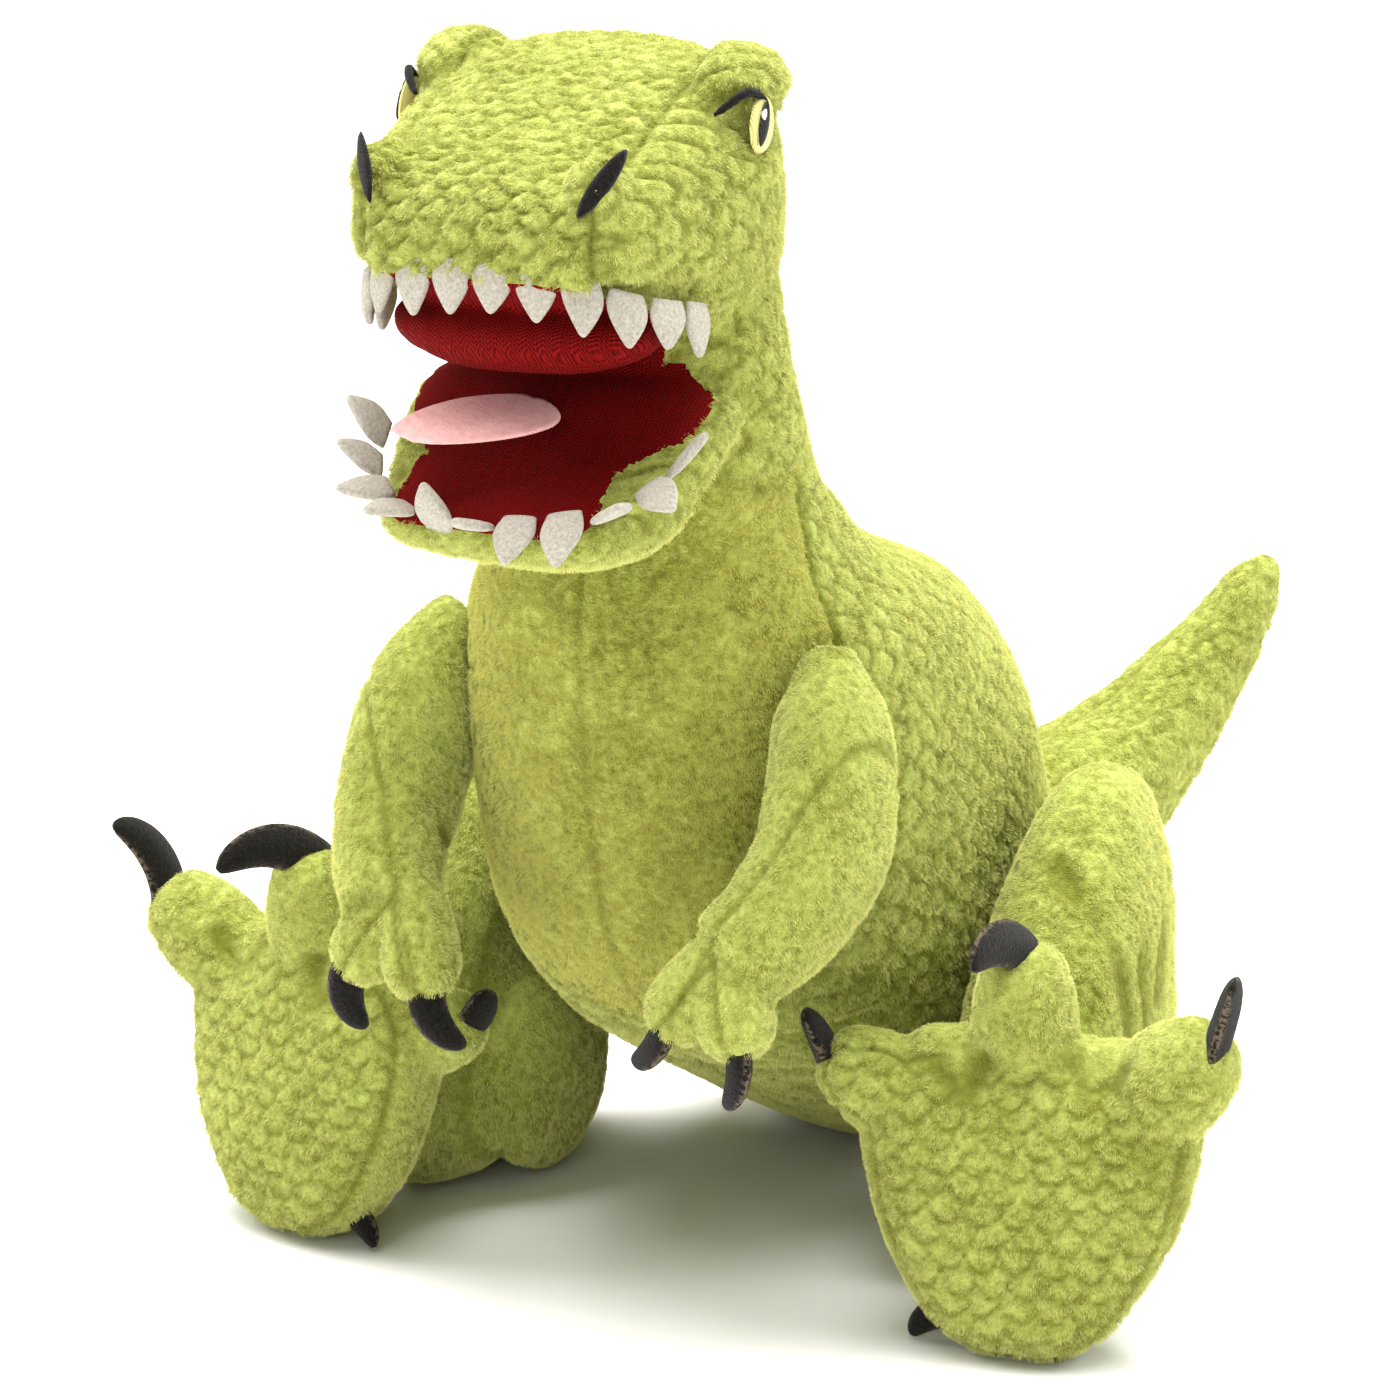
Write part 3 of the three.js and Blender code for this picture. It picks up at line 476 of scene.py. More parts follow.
seams = np.maximum.reduce([
    seam_line(y - BELLY_SEAM_Y, 1.6, (z > 60) & (z < 296)),
    0.4 * seam_line(x, 1.6, (z > 70) & (z < 290) & (y < BELLY_SEAM_Y)),
    0.9 * seam_line(np.abs(x) - SNOUT_SEAM_X, 1.5, (y < -66) & (z > 366)),
    0.5 * seam_line(x, 1.5, (y > -40) & (z > 20)),
]) * (1 - lined)
cheek_folds = np.maximum.reduce([
    crease(p, [(side * 66, -128, 350), (side * 60, -116, 341), (side * 64, -112, 330)], 3.5)
    for side in (1, -1)
])
belly_folds = np.maximum.reduce([
    crease(p, [(-60, -40, 96), (-20, -58, 90), (40, -50, 92), (80, -30, 100)], 4.0),
    0.8 * crease(p, [(-50, -20, 70), (0, -30, 66), (60, -18, 74)], 4.0),
])
brow_edge = np.maximum.reduce([
    crease(p, [(side * 58, -78, 424), (side * 63, -100, 424), (side * 60, -121, 420)], 2.6)
    for side in (1, -1)
])
emboss(body, seams, seam_depth=2.2, lumps=0.7, seed=1, pressed=pressed, pressed_depth=1.5)
p = points_of(body)
sink = CHEEK_FOLD * cheek_folds + BELLY_FOLD * belly_folds + BROW_FOLD * brow_edge
move_points(body, p - normals_of(body) * sink[:, None])
print("seam points:", int((seams > 0.5).sum()), "pressed points:", int((pressed > 0.5).sum()))

# %% [markdown]
# ## Taking the panels apart
# Every panel becomes its own piece with its own name, as it would lie on the cutting table.
# The points move from pattern millimetres into the frame's metres here.

# %% Taking the panels apart
def panel_from(piece, name, wanted):
    """A new piece made of the wanted faces of another."""
    work = bmesh.new()
    work.from_mesh(piece.data)
    work.faces.ensure_lookup_table()
    unwanted = [face for face, keep in zip(work.faces, wanted) if not keep]
    bmesh.ops.delete(work, geom=unwanted, context="FACES")
    mesh = bpy.data.meshes.new(name)
    work.to_mesh(mesh)
    work.free()
    panel = bpy.data.objects.new(name, mesh)
    bpy.context.scene.collection.objects.link(panel)
    return panel


def finish_mesh(piece):
    """Moves a piece into the frame and shades it smoothly."""
    move_points(piece, points_of(piece) * MM + SHIFT)
    piece.data.polygons.foreach_set("use_smooth", [True] * len(piece.data.polygons))


def face_centres(piece):
    """The middle of each face."""
    centres = np.empty(len(piece.data.polygons) * 3)
    piece.data.polygons.foreach_get("center", centres)
    return centres.reshape(-1, 3)


panel_names = body_panel_of(face_centres(body))
panels = {}
for name in sorted(set(panel_names)):
    panels[name] = panel_from(body, name, panel_names == name)
    finish_mesh(panels[name])
bpy.data.objects.remove(body)
print("body panels:", {name: len(panel.data.polygons) for name, panel in panels.items()})

# %% [markdown]
# ## Tail
# The tail is a tapered tube of stuffed plush, sewn into the rump and curling up.
# A line of centres with a radius at each gives it, and the ball hides in the rump.

# %% Tail
TAIL = [  # x, y, z, radius
    [12, 128, 97, 32], [18, 150, 97, 34], [26, 174, 100, 36], [44, 207, 114, 32],
    [60, 232, 135, 25], [76, 252, 163, 18], [89, 263, 190, 12], [94, 266, 200, 7],
]
tail_line = smooth_rows(TAIL)
tail = wrapped("tail_cover", [
    limb_loft(tail_line[:, :3], tail_line[:, 3], tail_line[:, 3], AXIS_X),
    ball((94, 265.5, 199), (7, 7, 7)),
], 2.0, 6)
p = points_of(tail)
x, y, z = p.T
tail_grooves = scale_grooves(z + 0.4 * y + 3 * wander(p, 18, 41), 1.2 * x - 0.5 * y)
tail_seam = seam_line((x - 44) * 0.85 - (y - 207) * 0.5, 1.6, normals_of(tail)[:, 2] > 0.2)
tail_folds = np.maximum.reduce([
    crease(p, [(52, 168, 92), (56, 178, 104), (50, 186, 122)], 4.0),
    0.8 * crease(p, [(56, 186, 96), (62, 196, 108), (58, 204, 124)], 4.0),
])
emboss(tail, 0.7 * tail_seam + tail_folds, seam_depth=1.6, lumps=0.9, seed=5,
       pressed=0.55 * tail_grooves, pressed_depth=1.3)
finish_mesh(tail)
print("tail faces:", len(tail.data.polygons))

# %% [markdown]
# ## Arms
# A short arm is two panels sewn edge to edge and stuffed, ending in two soft fingers.
# The fingers are wrapped with the arm so that the palm runs into them.
# The seam between the panels runs down the side and between the fingers.

# %% Arms
ARM = [  # x, y, z, half width, half depth
    [70, -72, 236, 9, 9], [73, -76, 231, 12, 12], [77, -82, 217, 18, 21], [80, -88, 195, 20, 25],
    [80, -98, 173, 20, 24], [72, -115, 155, 18, 20], [62, -127, 145, 16, 18],
]
HANDS = {  # root and tip of the inner and outer finger
    1: [([56, -129, 140], [42, -134, 121]), ([66, -131, 138], [72, -138, 118])],
    -1: [([58, -128, 140], [49, -136, 118]), ([70, -127, 140], [83, -132, 120])],
}
HAND_SPREAD = {1: 0, -1: 7}
FINGER_HALF = 12.5
SIDES = {1: "left", -1: "right"}


def mirrored(points, side):
    """The same points on the left (1) or right (-1) side of the toy."""
    return np.asarray(points, float) * [side, 1, 1]


FINGER_ROWS = smooth_rows([[-0.5, 0.85], [0, 0.98], [0.5, 1.0], [0.85, 0.82], [1.05, 0.4]], 3)
ARM_SEAM_POINT, ARM_SEAM_NORMAL = [80, -98, 173], [0.9, -0.3, -0.3]
ELBOW_FOLD = [[60, -104, 168], [66, -96, 158], [78, -90, 152]]


def arm_shapes(side):
    """The arm and its two fingers, before they are wrapped."""
    rows = smooth_rows(ARM)
    rows[:, 0] += HAND_SPREAD[side] * np.linspace(0, 1, len(rows)) ** 2
    parts = [limb_loft(mirrored(rows[:, :3], side), rows[:, 3], rows[:, 4], AXIS_X)]
    for root, tip in HANDS[side]:
        root, tip = mirrored(root, side), mirrored(tip, side)
        centres = root + FINGER_ROWS[:, :1] * (tip - root)
        half = FINGER_HALF * FINGER_ROWS[:, 1]
        parts.append(limb_loft(centres, half, half, AXIS_Y))
    return parts


def arm_seams(p, side):
    """The seam down the arm, the fold at its elbow and the seams along its fingers."""
    seam_normal = unit(mirrored(ARM_SEAM_NORMAL, side))
    along_seam = seam_line((p - mirrored(ARM_SEAM_POINT, side)) @ seam_normal, 1.4, 1.0)
    elbow = crease(p, mirrored(ELBOW_FOLD, side), 3.0)
    finger_seams = 0
    for root, tip in HANDS[side]:
        root, tip = mirrored(root, side), mirrored(tip, side)
        middle = unit(np.cross(tip - root, AXIS_Y))
        close = crease(p, [root, tip], 15) > 0.35
        finger_seams = np.maximum(finger_seams, seam_line((p - root) @ middle, 1.2, close))
    return np.clip(0.8 * along_seam + 1.5 * elbow + finger_seams, 0, 2)


arms = {}
for side, word in SIDES.items():
    arms[side] = wrapped(f"arm_cover_{word}", arm_shapes(side), voxel=1.6, rounds=7)
    seams = arm_seams(points_of(arms[side]), side)
    emboss(arms[side], seams, seam_depth=1.2, lumps=0.9, seed=7 + side)
    finish_mesh(arms[side])

# %% [markdown]
# ## Thighs and shins
# The thigh is a flat round pad sewn to the hip, and a short shin runs from it to the foot.
# Where the shin bends, loose plush gathers in folds, so curved creases are pressed in.

# %% Thighs and shins
THIGH = [  # distance back, underside, top, inner and outer side
    [-28, 8, 92, 98, 150], [-8, 2, 128, 90, 153], [16, 0, 156, 90, 151], [42, 0, 174, 90, 147],
    [66, 2, 172, 90, 141], [84, 14, 156, 90, 133], [96, 42, 132, 90, 123], [101, 66, 108, 97, 113],
]
HEELS = {1: np.array([148, -88, 3.0]), -1: np.array([-142, -108, 3.0])}
ANKLE_HEIGHT, ANKLE_DEPTH, ANKLE_BALL = 50, 88, 38
FOOT_SPLAY, FOOT_LEAN = math.radians(14), math.radians(8)


def foot_axes(side):
    """Out of the sole, across the foot from its inner side, and up it."""
    level, tip = math.cos(FOOT_LEAN), math.sin(FOOT_LEAN)
    turn_x, turn_y = math.sin(FOOT_SPLAY), math.cos(FOOT_SPLAY)
    out = np.array([side * turn_x * level, -turn_y * level, tip])
    across = np.array([side * turn_y, turn_x, 0])
    up = np.array([-side * turn_x * tip, turn_y * tip, level])
    return out, across, up


def on_foot(side, across, up, behind):
    """A pattern point from its place across, up and behind the sole."""
    axes = foot_axes(side)
    return HEELS[side] + across * axes[1] + up * axes[2] - behind * axes[0]


INNER_BULGE = ((87, 6, 44), (18, 38, 40))
SHIN_END, SHIN_RINGS, SHIN_HALF_ACROSS, SHIN_HALF_UP = 30, 6, 31.0, 33.0
FLOOR_GAP = 0.4
HIP_SEAM_X = 92
THIGH_SEEDS = {1: 12, -1: 11}


def thigh_shapes(side, ankle):
    """The round pad of the thigh, its inner bulge, the ankle and the shin."""
    back, under, top, inner, outer = smooth_rows(THIGH, 4).T
    back = np.minimum(back, ankle[1] + back)
    centres = np.stack([side * (inner + outer) / 2, back, (under + top) / 2], 1)
    pad = loft(centres, AXIS_X, AXIS_Z, (outer - inner) / 2, (top - under) / 2, 2.5, 48)
    shin_line = np.linspace(ankle, on_foot(side, 0, ANKLE_HEIGHT + 4, SHIN_END), SHIN_RINGS)
    half_across, half_up = np.full((SHIN_RINGS, 2), (SHIN_HALF_ACROSS, SHIN_HALF_UP)).T
    shin = limb_loft(shin_line, half_across, half_up, AXIS_X)
    inner_bulge = ball(mirrored(INNER_BULGE[0], side), INNER_BULGE[1])
    return [pad, inner_bulge, ball(ankle, (ANKLE_BALL,) * 3), shin]


def thigh_seams(p, side, ankle_y):
    """The hip seam, two gathered folds behind the foot, and a dimple beside them."""
    gathers = np.maximum.reduce([
        crease(p, [(side * 120, y, 150), (side * 151, y - 6, 108), (side * 156, y - 2, 70)], 4.5)
        for y in (ankle_y + 4, ankle_y + 20)
    ])
    dimple = crease(p, [(side * 144, ankle_y + 40, 118), (side * 147, ankle_y + 30, 100)], 6.0)
    hip_seam = seam_line(np.abs(p[:, 0]) - HIP_SEAM_X, 1.6, 1.0)
    return np.clip(0.6 * hip_seam + 1.8 * gathers + 1.5 * dimple, 0, 2.5)


thighs = {}
for side, word in SIDES.items():
    ankle = on_foot(side, 0, ANKLE_HEIGHT, ANKLE_DEPTH)
    thigh = wrapped(f"thigh_cover_{word}", thigh_shapes(side, ankle), voxel=2.0, rounds=9)
    seams = thigh_seams(points_of(thigh), side, ankle[1])
    emboss(thigh, seams, seam_depth=1.5, lumps=1.1, seed=THIGH_SEEDS[side])
    p = points_of(thigh)
    p[:, 2] = np.maximum(p[:, 2], FLOOR_GAP)
    move_points(thigh, p)
    finish_mesh(thigh)
    thighs[side] = thigh

# %% [markdown]
# ## Feet
# Each foot stands on its heel with the sole to the front. It is a pear-shaped cushion
# with three toes. The sole is pressed with the same scales as the snout.

# %% Feet
FOOT = [  # height, half width, front and back behind the sole
    [2, 16, 11, 32], [12, 31, 3, 42], [34, 46, 0, 46], [64, 56, 0, 46],
    [90, 56, 2, 44], [110, 38, 11, 34],
]
MIDDLE_TOE = ([-2, 104, 22], [-3, 141, 8], 16.5)
OUTER_TOE = ([38, 90, 20], [64, 116, 4], 17.5)
TOES = {
    1: {"inner": ([-37, 84, 24], [-70, 99, 18], 15.5), "middle": MIDDLE_TOE, "outer": OUTER_TOE},
    -1: {"inner": ([-37, 80, 28], [-68, 92, 34], 14.5), "middle": MIDDLE_TOE, "outer": OUTER_TOE},
}
SOLE_DEPTH = 11
TOE_ROWS = smooth_rows([[-0.4, 0.85], [0.3, 1.06], [0.72, 0.92], [0.95, 0.66], [1.04, 0.3]], 4)
TOE_JOINS = [  # across, up and behind the sole
    [(-30, 100, 6), (-20, 92, 0), (-14, 104, 6)],
    [(16, 106, 6), (22, 94, 0), (34, 104, 4)],
]
HEEL_PUCKER = [(52, 60, 16), (44, 34, 22), (30, 14, 26)]


def foot_shapes(side):
    """The foot's cushion and its three toes."""
    out, across, _ = foot_axes(side)
    height, half, front, back = smooth_rows(FOOT).T
    centres = np.array([on_foot(side, 0, h, (f + b) / 2) for h, f, b in zip(height, front, back)])
    parts = [loft(centres, across, out, half, (back - front) / 2, 2.6, 56)]
    for root, tip, size in TOES[side].values():
        root, tip = on_foot(side, *root), on_foot(side, *tip)
        toe_line = root + TOE_ROWS[:, :1] * (tip - root)
        parts.append(limb_loft(toe_line, size * TOE_ROWS[:, 1], size * TOE_ROWS[:, 1], across))
    return parts


def press_foot(foot, side):
    """Presses scales into the sole, and seams around it and between the toes."""
    out, across, up = foot_axes(side)
    p = points_of(foot)
    local = p - HEELS[side]
    u, v, depth = local @ across, local @ up, -(local @ out)
    wobble = 2.0 * wander(p, 15, 51 + side)
    on_sole = soft_step(SOLE_DEPTH - depth, -1, 2)
    toe_part = soft_step(v, 96, 108)
    grooves = scale_grooves(u + wobble, -v + wobble) * on_sole * (1 - 0.7 * toe_part)
    edge_seam = seam_line(depth - SOLE_DEPTH, 1.4, (v > 4) & (v < 104))
    toe_joins = np.maximum.reduce([
        crease(p, [on_foot(side, *place) for place in join], 4.0) for join in TOE_JOINS
    ])
    puckers = crease(p, [on_foot(side, *place) for place in HEEL_PUCKER], 4)
    seams = np.clip(edge_seam + 1.6 * toe_joins + puckers, 0, 2)
    emboss(foot, seams, seam_depth=1.3, lumps=0.9, seed=21 + side, pressed=grooves, pressed_depth=0.75)


feet, soles = {}, {}
for side, word in SIDES.items():
    foot = wrapped(f"foot_cover_{word}", foot_shapes(side), voxel=1.8, rounds=6)
    out = foot_axes(side)[0]
    cut_along(foot, on_foot(side, 0, 0, SOLE_DEPTH), out, lambda c: True)
    press_foot(foot, side)
    in_sole = -((face_centres(foot) - HEELS[side]) @ out) < SOLE_DEPTH
    soles[side] = panel_from(foot, f"sole_cover_{word}", in_sole)
    feet[side] = panel_from(foot, f"foot_cover_{word}_upper", ~in_sole)
    bpy.data.objects.remove(foot)
    finish_mesh(soles[side])
    finish_mesh(feet[side])
print("feet and soles:", sorted(piece.name for piece in (*feet.values(), *soles.values())))

# %% [markdown]
# ## Teeth
# The teeth are cut from thick felt and caught side by side in the lip seam.
# A cone would look like plastic. Each tooth is a flat tongue of felt with rounded sides.

# %% Teeth
UPPER_LIP = [
    [58, -133, 360], [56.5, -150, 364], [48, -166, 368], [33, -177, 374.5], [12, -180.8, 376.5],
    [-12, -180.8, 376.5], [-33, -177, 374.5], [-48, -166, 368], [-56.5, -150, 364], [-58, -133, 360],
]
LOWER_LIP = [
    [58, -142, 321], [53, -158, 309], [41, -172, 301], [23, -179, 297], [0, -181, 296],
    [-23, -179, 297], [-41, -172, 301], [-53, -158, 309], [-58, -142, 321],
]
TOOTH_SHAPE = smooth_rows([  # place along the tooth, width, thickness
    [-0.30, 0.80, 0.8], [0.0, 0.98, 1.0], [0.22, 0.98, 1.1], [0.45, 0.82, 1.1],
    [0.68, 0.56, 1.0], [0.86, 0.32, 0.85], [0.96, 0.17, 0.6], [1.0, 0.06, 0.25],
], 3)
FELT = 3.4  # thickness


def teeth_row(name, lip, half_width, length, lean, rises, over=0.0):
    """A row of felt teeth around a lip. Each leans out and rises by its own amount.

    Those that point down start further over the lip's edge.
    """
    count = len(rises)
    line = smooth_rows(lip, 12)
    reach = np.concatenate([[0], np.cumsum(np.linalg.norm(np.diff(line, axis=0), axis=1))])

    def at(share):
        return np.array([np.interp(share * reach[-1], reach, line[:, k]) for k in range(3)])

    place, width, depth = TOOTH_SHAPE.T
    parts = []
    for i in range(count):
        share = (i + 0.5) / count
        along = unit(at(share + 0.01) - at(share - 0.01))
        outward = unit(np.cross(AXIS_Z, along))
        direction = unit(rises[i] * AXIS_Z + lean * outward)
        start = at(share) + (over if rises[i] < 0 else 0) * (outward + 0.4 * AXIS_Z)
        thick = unit(np.cross(direction, along))
        vary = 1 + 0.10 * math.sin(i * 4.7)
        curl = np.outer(0.9 * np.clip(place, 0, 1) ** 2 * math.sin(i * 2.1), thick)
        centres = start + np.outer(place * length * vary, direction) + curl
        parts.append(loft(centres, along, thick, half_width * width, FELT / 2 * depth, 2.8, 20))
    row = new_object(name, *merged(parts))
    finish_mesh(row)
    return row


UPPER_RISES = [-1] * 12
LOWER_RISES = [0.8, -0.2, 0.3, -0.8, -0.7, 0.2, 1.8, 0.1, 0.0, 0.5, 0.8]
TOOTH_HALF = 7.0
upper_teeth = teeth_row("teeth_upper", UPPER_LIP, TOOTH_HALF, 13.5, 0.06, UPPER_RISES)
lower_teeth = teeth_row("teeth_lower", LOWER_LIP, TOOTH_HALF, 14, 0.85, LOWER_RISES, over=1.5)
print("teeth:", len(UPPER_RISES), "upper and", len(LOWER_RISES), "lower")

# %% [markdown]
# ## Tongue
# The tongue is a thin leaf of pink plush, held over the mouth's floor and bending to one side.

# %% Tongue
TONGUE_ROOT = in_pattern("tongue_lift")
tongue_step = np.linspace(-0.06, 1, 22)
TONGUE_LENGTH, TONGUE_BEND, TONGUE_DROP = 40, 20, 5
tongue_run = [-TONGUE_BEND * tongue_step ** 2, -TONGUE_LENGTH * tongue_step, -1.5 - TONGUE_DROP * tongue_step]
tongue_line = TONGUE_ROOT + np.stack(tongue_run, 1)
tongue_half = 3 + 15 * np.sqrt(np.sin(np.pi * np.clip(0.08 + 0.88 * tongue_step, 0.02, 0.985)))
tongue_thick = 2.4 * np.sqrt(np.clip(1.02 - tongue_step, 0.02, 1)) + 0.4
tongue = new_object("tongue_cover", *loft(tongue_line, AXIS_X, AXIS_Z, tongue_half, tongue_thick, 2.3, 36))
p = points_of(tongue)
middle = p[:, 0] - np.interp(-p[:, 1], -tongue_line[:, 1], tongue_line[:, 0])
p[:, 2] += 0.006 * middle ** 2 - 0.15 * middle - 0.5 * np.exp(-(middle / 1.5) ** 2)
move_points(tongue, p)
finish_mesh(tongue)
print("tongue points:", len(p))

# %% [markdown]
# ## Eyes and nostrils
# The eyes are embroidered: a cream patch, a black slit and a white glint in satin stitch.
# Each is a thin raised shape on the one below, as rows of thread are.
# The nostrils are narrow leaves of black felt in the tucks at the snout's corners.

# %% Eyes and nostrils
PATCH_DEPTH = 2.5  # how far a patch goes down into the cloth


def stitched_patch(name, centre, facing, upward, half_up, half_side, height, lift, tilt=0.0, tip=1.0):
    """A thin domed leaf of thread or felt on a surface."""
    facing = unit(facing)
    upward = unit(upward - facing * (upward @ facing))
    sideways = np.cross(upward, facing)
    turned_up = math.cos(tilt) * upward + math.sin(tilt) * sideways
    turned_side = math.cos(tilt) * sideways - math.sin(tilt) * upward
    centre = np.asarray(centre)
    rings, sides = 9, 40
    angles = np.linspace(0, 2 * np.pi, sides, endpoint=False)
    points = [centre + facing * (lift + height)]
    for ring in range(1, rings + 1):
        share = ring / rings
        rise = lift + height * math.sqrt(max(1 - share ** 2.2, 0))
        for angle in angles:
            sideward = math.copysign(abs(math.cos(angle)) ** tip, math.cos(angle))
            points.append(centre + facing * rise
                          + turned_side * half_side * share * sideward
                          + turned_up * half_up * share * math.sin(angle))
    points.append(centre + facing * (lift - PATCH_DEPTH))
    faces = [(0, 1 + i, 1 + (i + 1) % sides) for i in range(sides)]
    for ring in range(rings - 1):
        for i in range(sides):
            a, b = 1 + ring * sides + i, 1 + ring * sides + (i + 1) % sides
            faces.append((a, a + sides, b + sides, b))
    last = 1 + (rings - 1) * sides
    faces += [(last + i, len(points) - 1, last + (i + 1) % sides) for i in range(sides)]
    piece = new_object(name, points, faces)
    finish_mesh(piece)
    return piece


BROW_LINE = [
    [55, -124, 422.5], [57.5, -122, 424.5], [60.5, -119, 427.5],
    [63.0, -115, 429], [64.5, -110, 427], [65.0, -104, 422],
]
EYE_CENTRE, EYE_FACING, EYE_LEAN = [64.0, -111, 418.5], [0.98, -0.06, 0.10], 0.42
EYE_LAYERS = {  # step from the centre, then half height, half width, thickness and lift, and its point
    "iris": ([0, 0, 0], (9.8, 6.6, 2.4, 0.8), 1.0),
    "slit": ([0, -1.6, 0.6], (7.8, 2.6, 1.2, 2.8), 1.3),
    "glint": ([0, -2.6, 3.4], (1.9, 0.7, 0.5, 3.8), 1.0),
}
NOSTRILS = {1: np.array([43.5, -175.5, 406.5]), -1: np.array([-37.5, -179.5, 406.5])}
NOSTRIL_FACING, NOSTRIL_UP = [0.50, -0.84, 0.22], [0.52, 0.30, 0.84]
NOSTRIL_SIZES = (13.0, 3.1, 1.7, 1.9)


def lash(side, word):
    """A fuzzy line of black felt over the eye."""
    line = smooth_rows(mirrored(BROW_LINE, side), 6)
    width = 1.5 * np.sqrt(np.sin(np.pi * np.linspace(0.06, 0.94, len(line))))
    piece = new_object(f"eye_lash_{word}", *limb_loft(line, width, width, AXIS_X, 2, 12))
    p = points_of(piece)
    move_points(piece, p + 0.35 * normals_of(piece) * wander(p, 1.1, 71)[:, None])
    finish_mesh(piece)
    return piece


eyes, nostrils = {}, {}
for side, word in SIDES.items():
    facing = mirrored(EYE_FACING, side)
    eyes[side] = []
    for layer, (step, sizes, tip) in EYE_LAYERS.items():
        centre = mirrored(EYE_CENTRE, side) + mirrored(step, side)
        patch = stitched_patch(f"eye_{layer}_{word}", centre, facing, AXIS_Z, *sizes, EYE_LEAN * side, tip)
        eyes[side].append(patch)
    eyes[side].append(lash(side, word))
    nostrils[side] = stitched_patch(
        f"nostril_cover_{word}", NOSTRILS[side], mirrored(NOSTRIL_FACING, side),
        mirrored(NOSTRIL_UP, side), *NOSTRIL_SIZES, tip=1.2,
    )
print("eyes and nostrils ready")

# %% [markdown]
# ## Claws
# A claw is two curved pieces of black felt, edge-stitched together and lightly filled.
# Its rim is thin where the felt is sewn, so the cross-section is pinched at both edges.

# %% Claws
CLAW_STEPS = np.linspace(-0.22, 1.0, 22)
CLAW_BEND = math.radians(70)
CLAW_SIDES = 28
TOE_CLAW = (8.5, 4.5)  # half height and half thickness
HEEL_CLAW_PLACE, HEEL_CLAW = (-24, 12, 24), (18, 6, 4)  # length, half height and half thickness
FINGER_CLAW_CURL, FINGER_CLAW = [-0.6, 0.4, 0], (22, 6.5, 4)


def claw(name, root, along, towards, length, half_height, half_thickness):
    """A flat felt horn that leaves along one direction and curls towards another."""
    across = unit(np.cross(along, towards))
    radius = length / CLAW_BEND
    angles = CLAW_BEND * CLAW_STEPS
    centres = root + np.outer(radius * np.sin(angles), along)
    centres += np.outer(radius * (1 - np.cos(angles)), towards)
    upwards = np.outer(np.cos(angles), towards) - np.outer(np.sin(angles), along)
    shrink = np.sqrt(np.clip(1 - 0.97 * np.clip(CLAW_STEPS, 0, 1) ** 2, 0, 1))
    skin = loft(centres, across, upwards, half_thickness * shrink, half_height * shrink, 1.7, CLAW_SIDES)
    piece = new_object(name, *skin)
    around = np.abs(np.sin(np.linspace(0, 2 * np.pi, CLAW_SIDES, endpoint=False)))
    rim = np.concatenate([np.tile(soft_step(around, 0.86, 0.99), len(CLAW_STEPS)), [0, 0]])
    mark(piece, "rim", rim)
    finish_mesh(piece)
    return piece


CLAW_LENGTHS = {
    1: {"inner": 18, "middle": 34, "outer": 34},
    -1: {"inner": 12, "middle": 36, "outer": 34},
}
claws = {}
for side, word in SIDES.items():
    out, across, up = foot_axes(side)
    for toe_word, (root, tip, _) in TOES[side].items():
        root, tip = on_foot(side, *root), on_foot(side, *tip)
        if toe_word == "middle":
            along = unit(unit(tip - root) + 1.3 * out - 0.7 * AXIS_X)
            curl = out - 2 * up
        else:
            along = unit(unit(tip - root) + 1.6 * up)
            curl = out
        towards = unit(curl - along * (curl @ along))
        length = CLAW_LENGTHS[side][toe_word]
        name = f"claw_{toe_word}_toe_{word}"
        claws[name] = claw(name, tip + 1.5 * along, along, towards, length, *TOE_CLAW)
    name = f"claw_heel_{word}"
    claws[name] = claw(name, on_foot(side, *HEEL_CLAW_PLACE), -across, -up, *HEEL_CLAW)
    for finger_word, (root, tip) in zip(("inner", "outer"), HANDS[side]):
        root, tip = mirrored(root, side), mirrored(tip, side)
        along = unit(unit(tip - root) - AXIS_Z)
        curl = mirrored(FINGER_CLAW_CURL, side)
        towards = unit(curl - along * (curl @ along))
        name = f"claw_{finger_word}_finger_{word}"
        claws[name] = claw(name, tip + along, along, towards, *FINGER_CLAW)
print("claws:", len(claws))

# %% [markdown]
# ## Cloth tone
# Plush is never one colour. The pile leans in patches, and each patch catches the light
# in its own way, and painted shade darkens the cloth in every groove and seam.
# One shader group makes that tone, so that all the plush pieces share it.

# %% Cloth tone
def new_group(name, inputs, outputs):
    """A shader node group with named inputs and outputs, and its two end nodes."""
    group = bpy.data.node_groups.new(name, "ShaderNodeTree")
    for socket_name, kind, value in inputs:
        socket = group.interface.new_socket(socket_name, in_out="INPUT", socket_type=kind)
        socket.default_value = value
    for socket_name, kind in outputs:
        group.interface.new_socket(socket_name, in_out="OUTPUT", socket_type=kind)
    start = group.nodes.new("NodeGroupInput")
    end = group.nodes.new("NodeGroupOutput")
    return group, start, end


def noise_node(tree, vector, scale, detail=3.0, rough=0.55):
    """A noise texture that reads the given coordinates."""
    node = tree.nodes.new("ShaderNodeTexNoise")
    node.inputs["Scale"].default_value = scale
    node.inputs["Detail"].default_value = detail
    node.inputs["Roughness"].default_value = rough
    tree.links.new(vector, node.inputs["Vector"])
    return node.outputs["Fac"]


def ramp(tree, value, low, high):
    """Stretches a value so that low becomes zero and high becomes one."""
    node = tree.nodes.new("ShaderNodeMapRange")
    node.inputs["From Min"].default_value = low
    node.inputs["From Max"].default_value = high
    tree.links.new(value, node.inputs["Value"])
    return node.outputs["Result"]


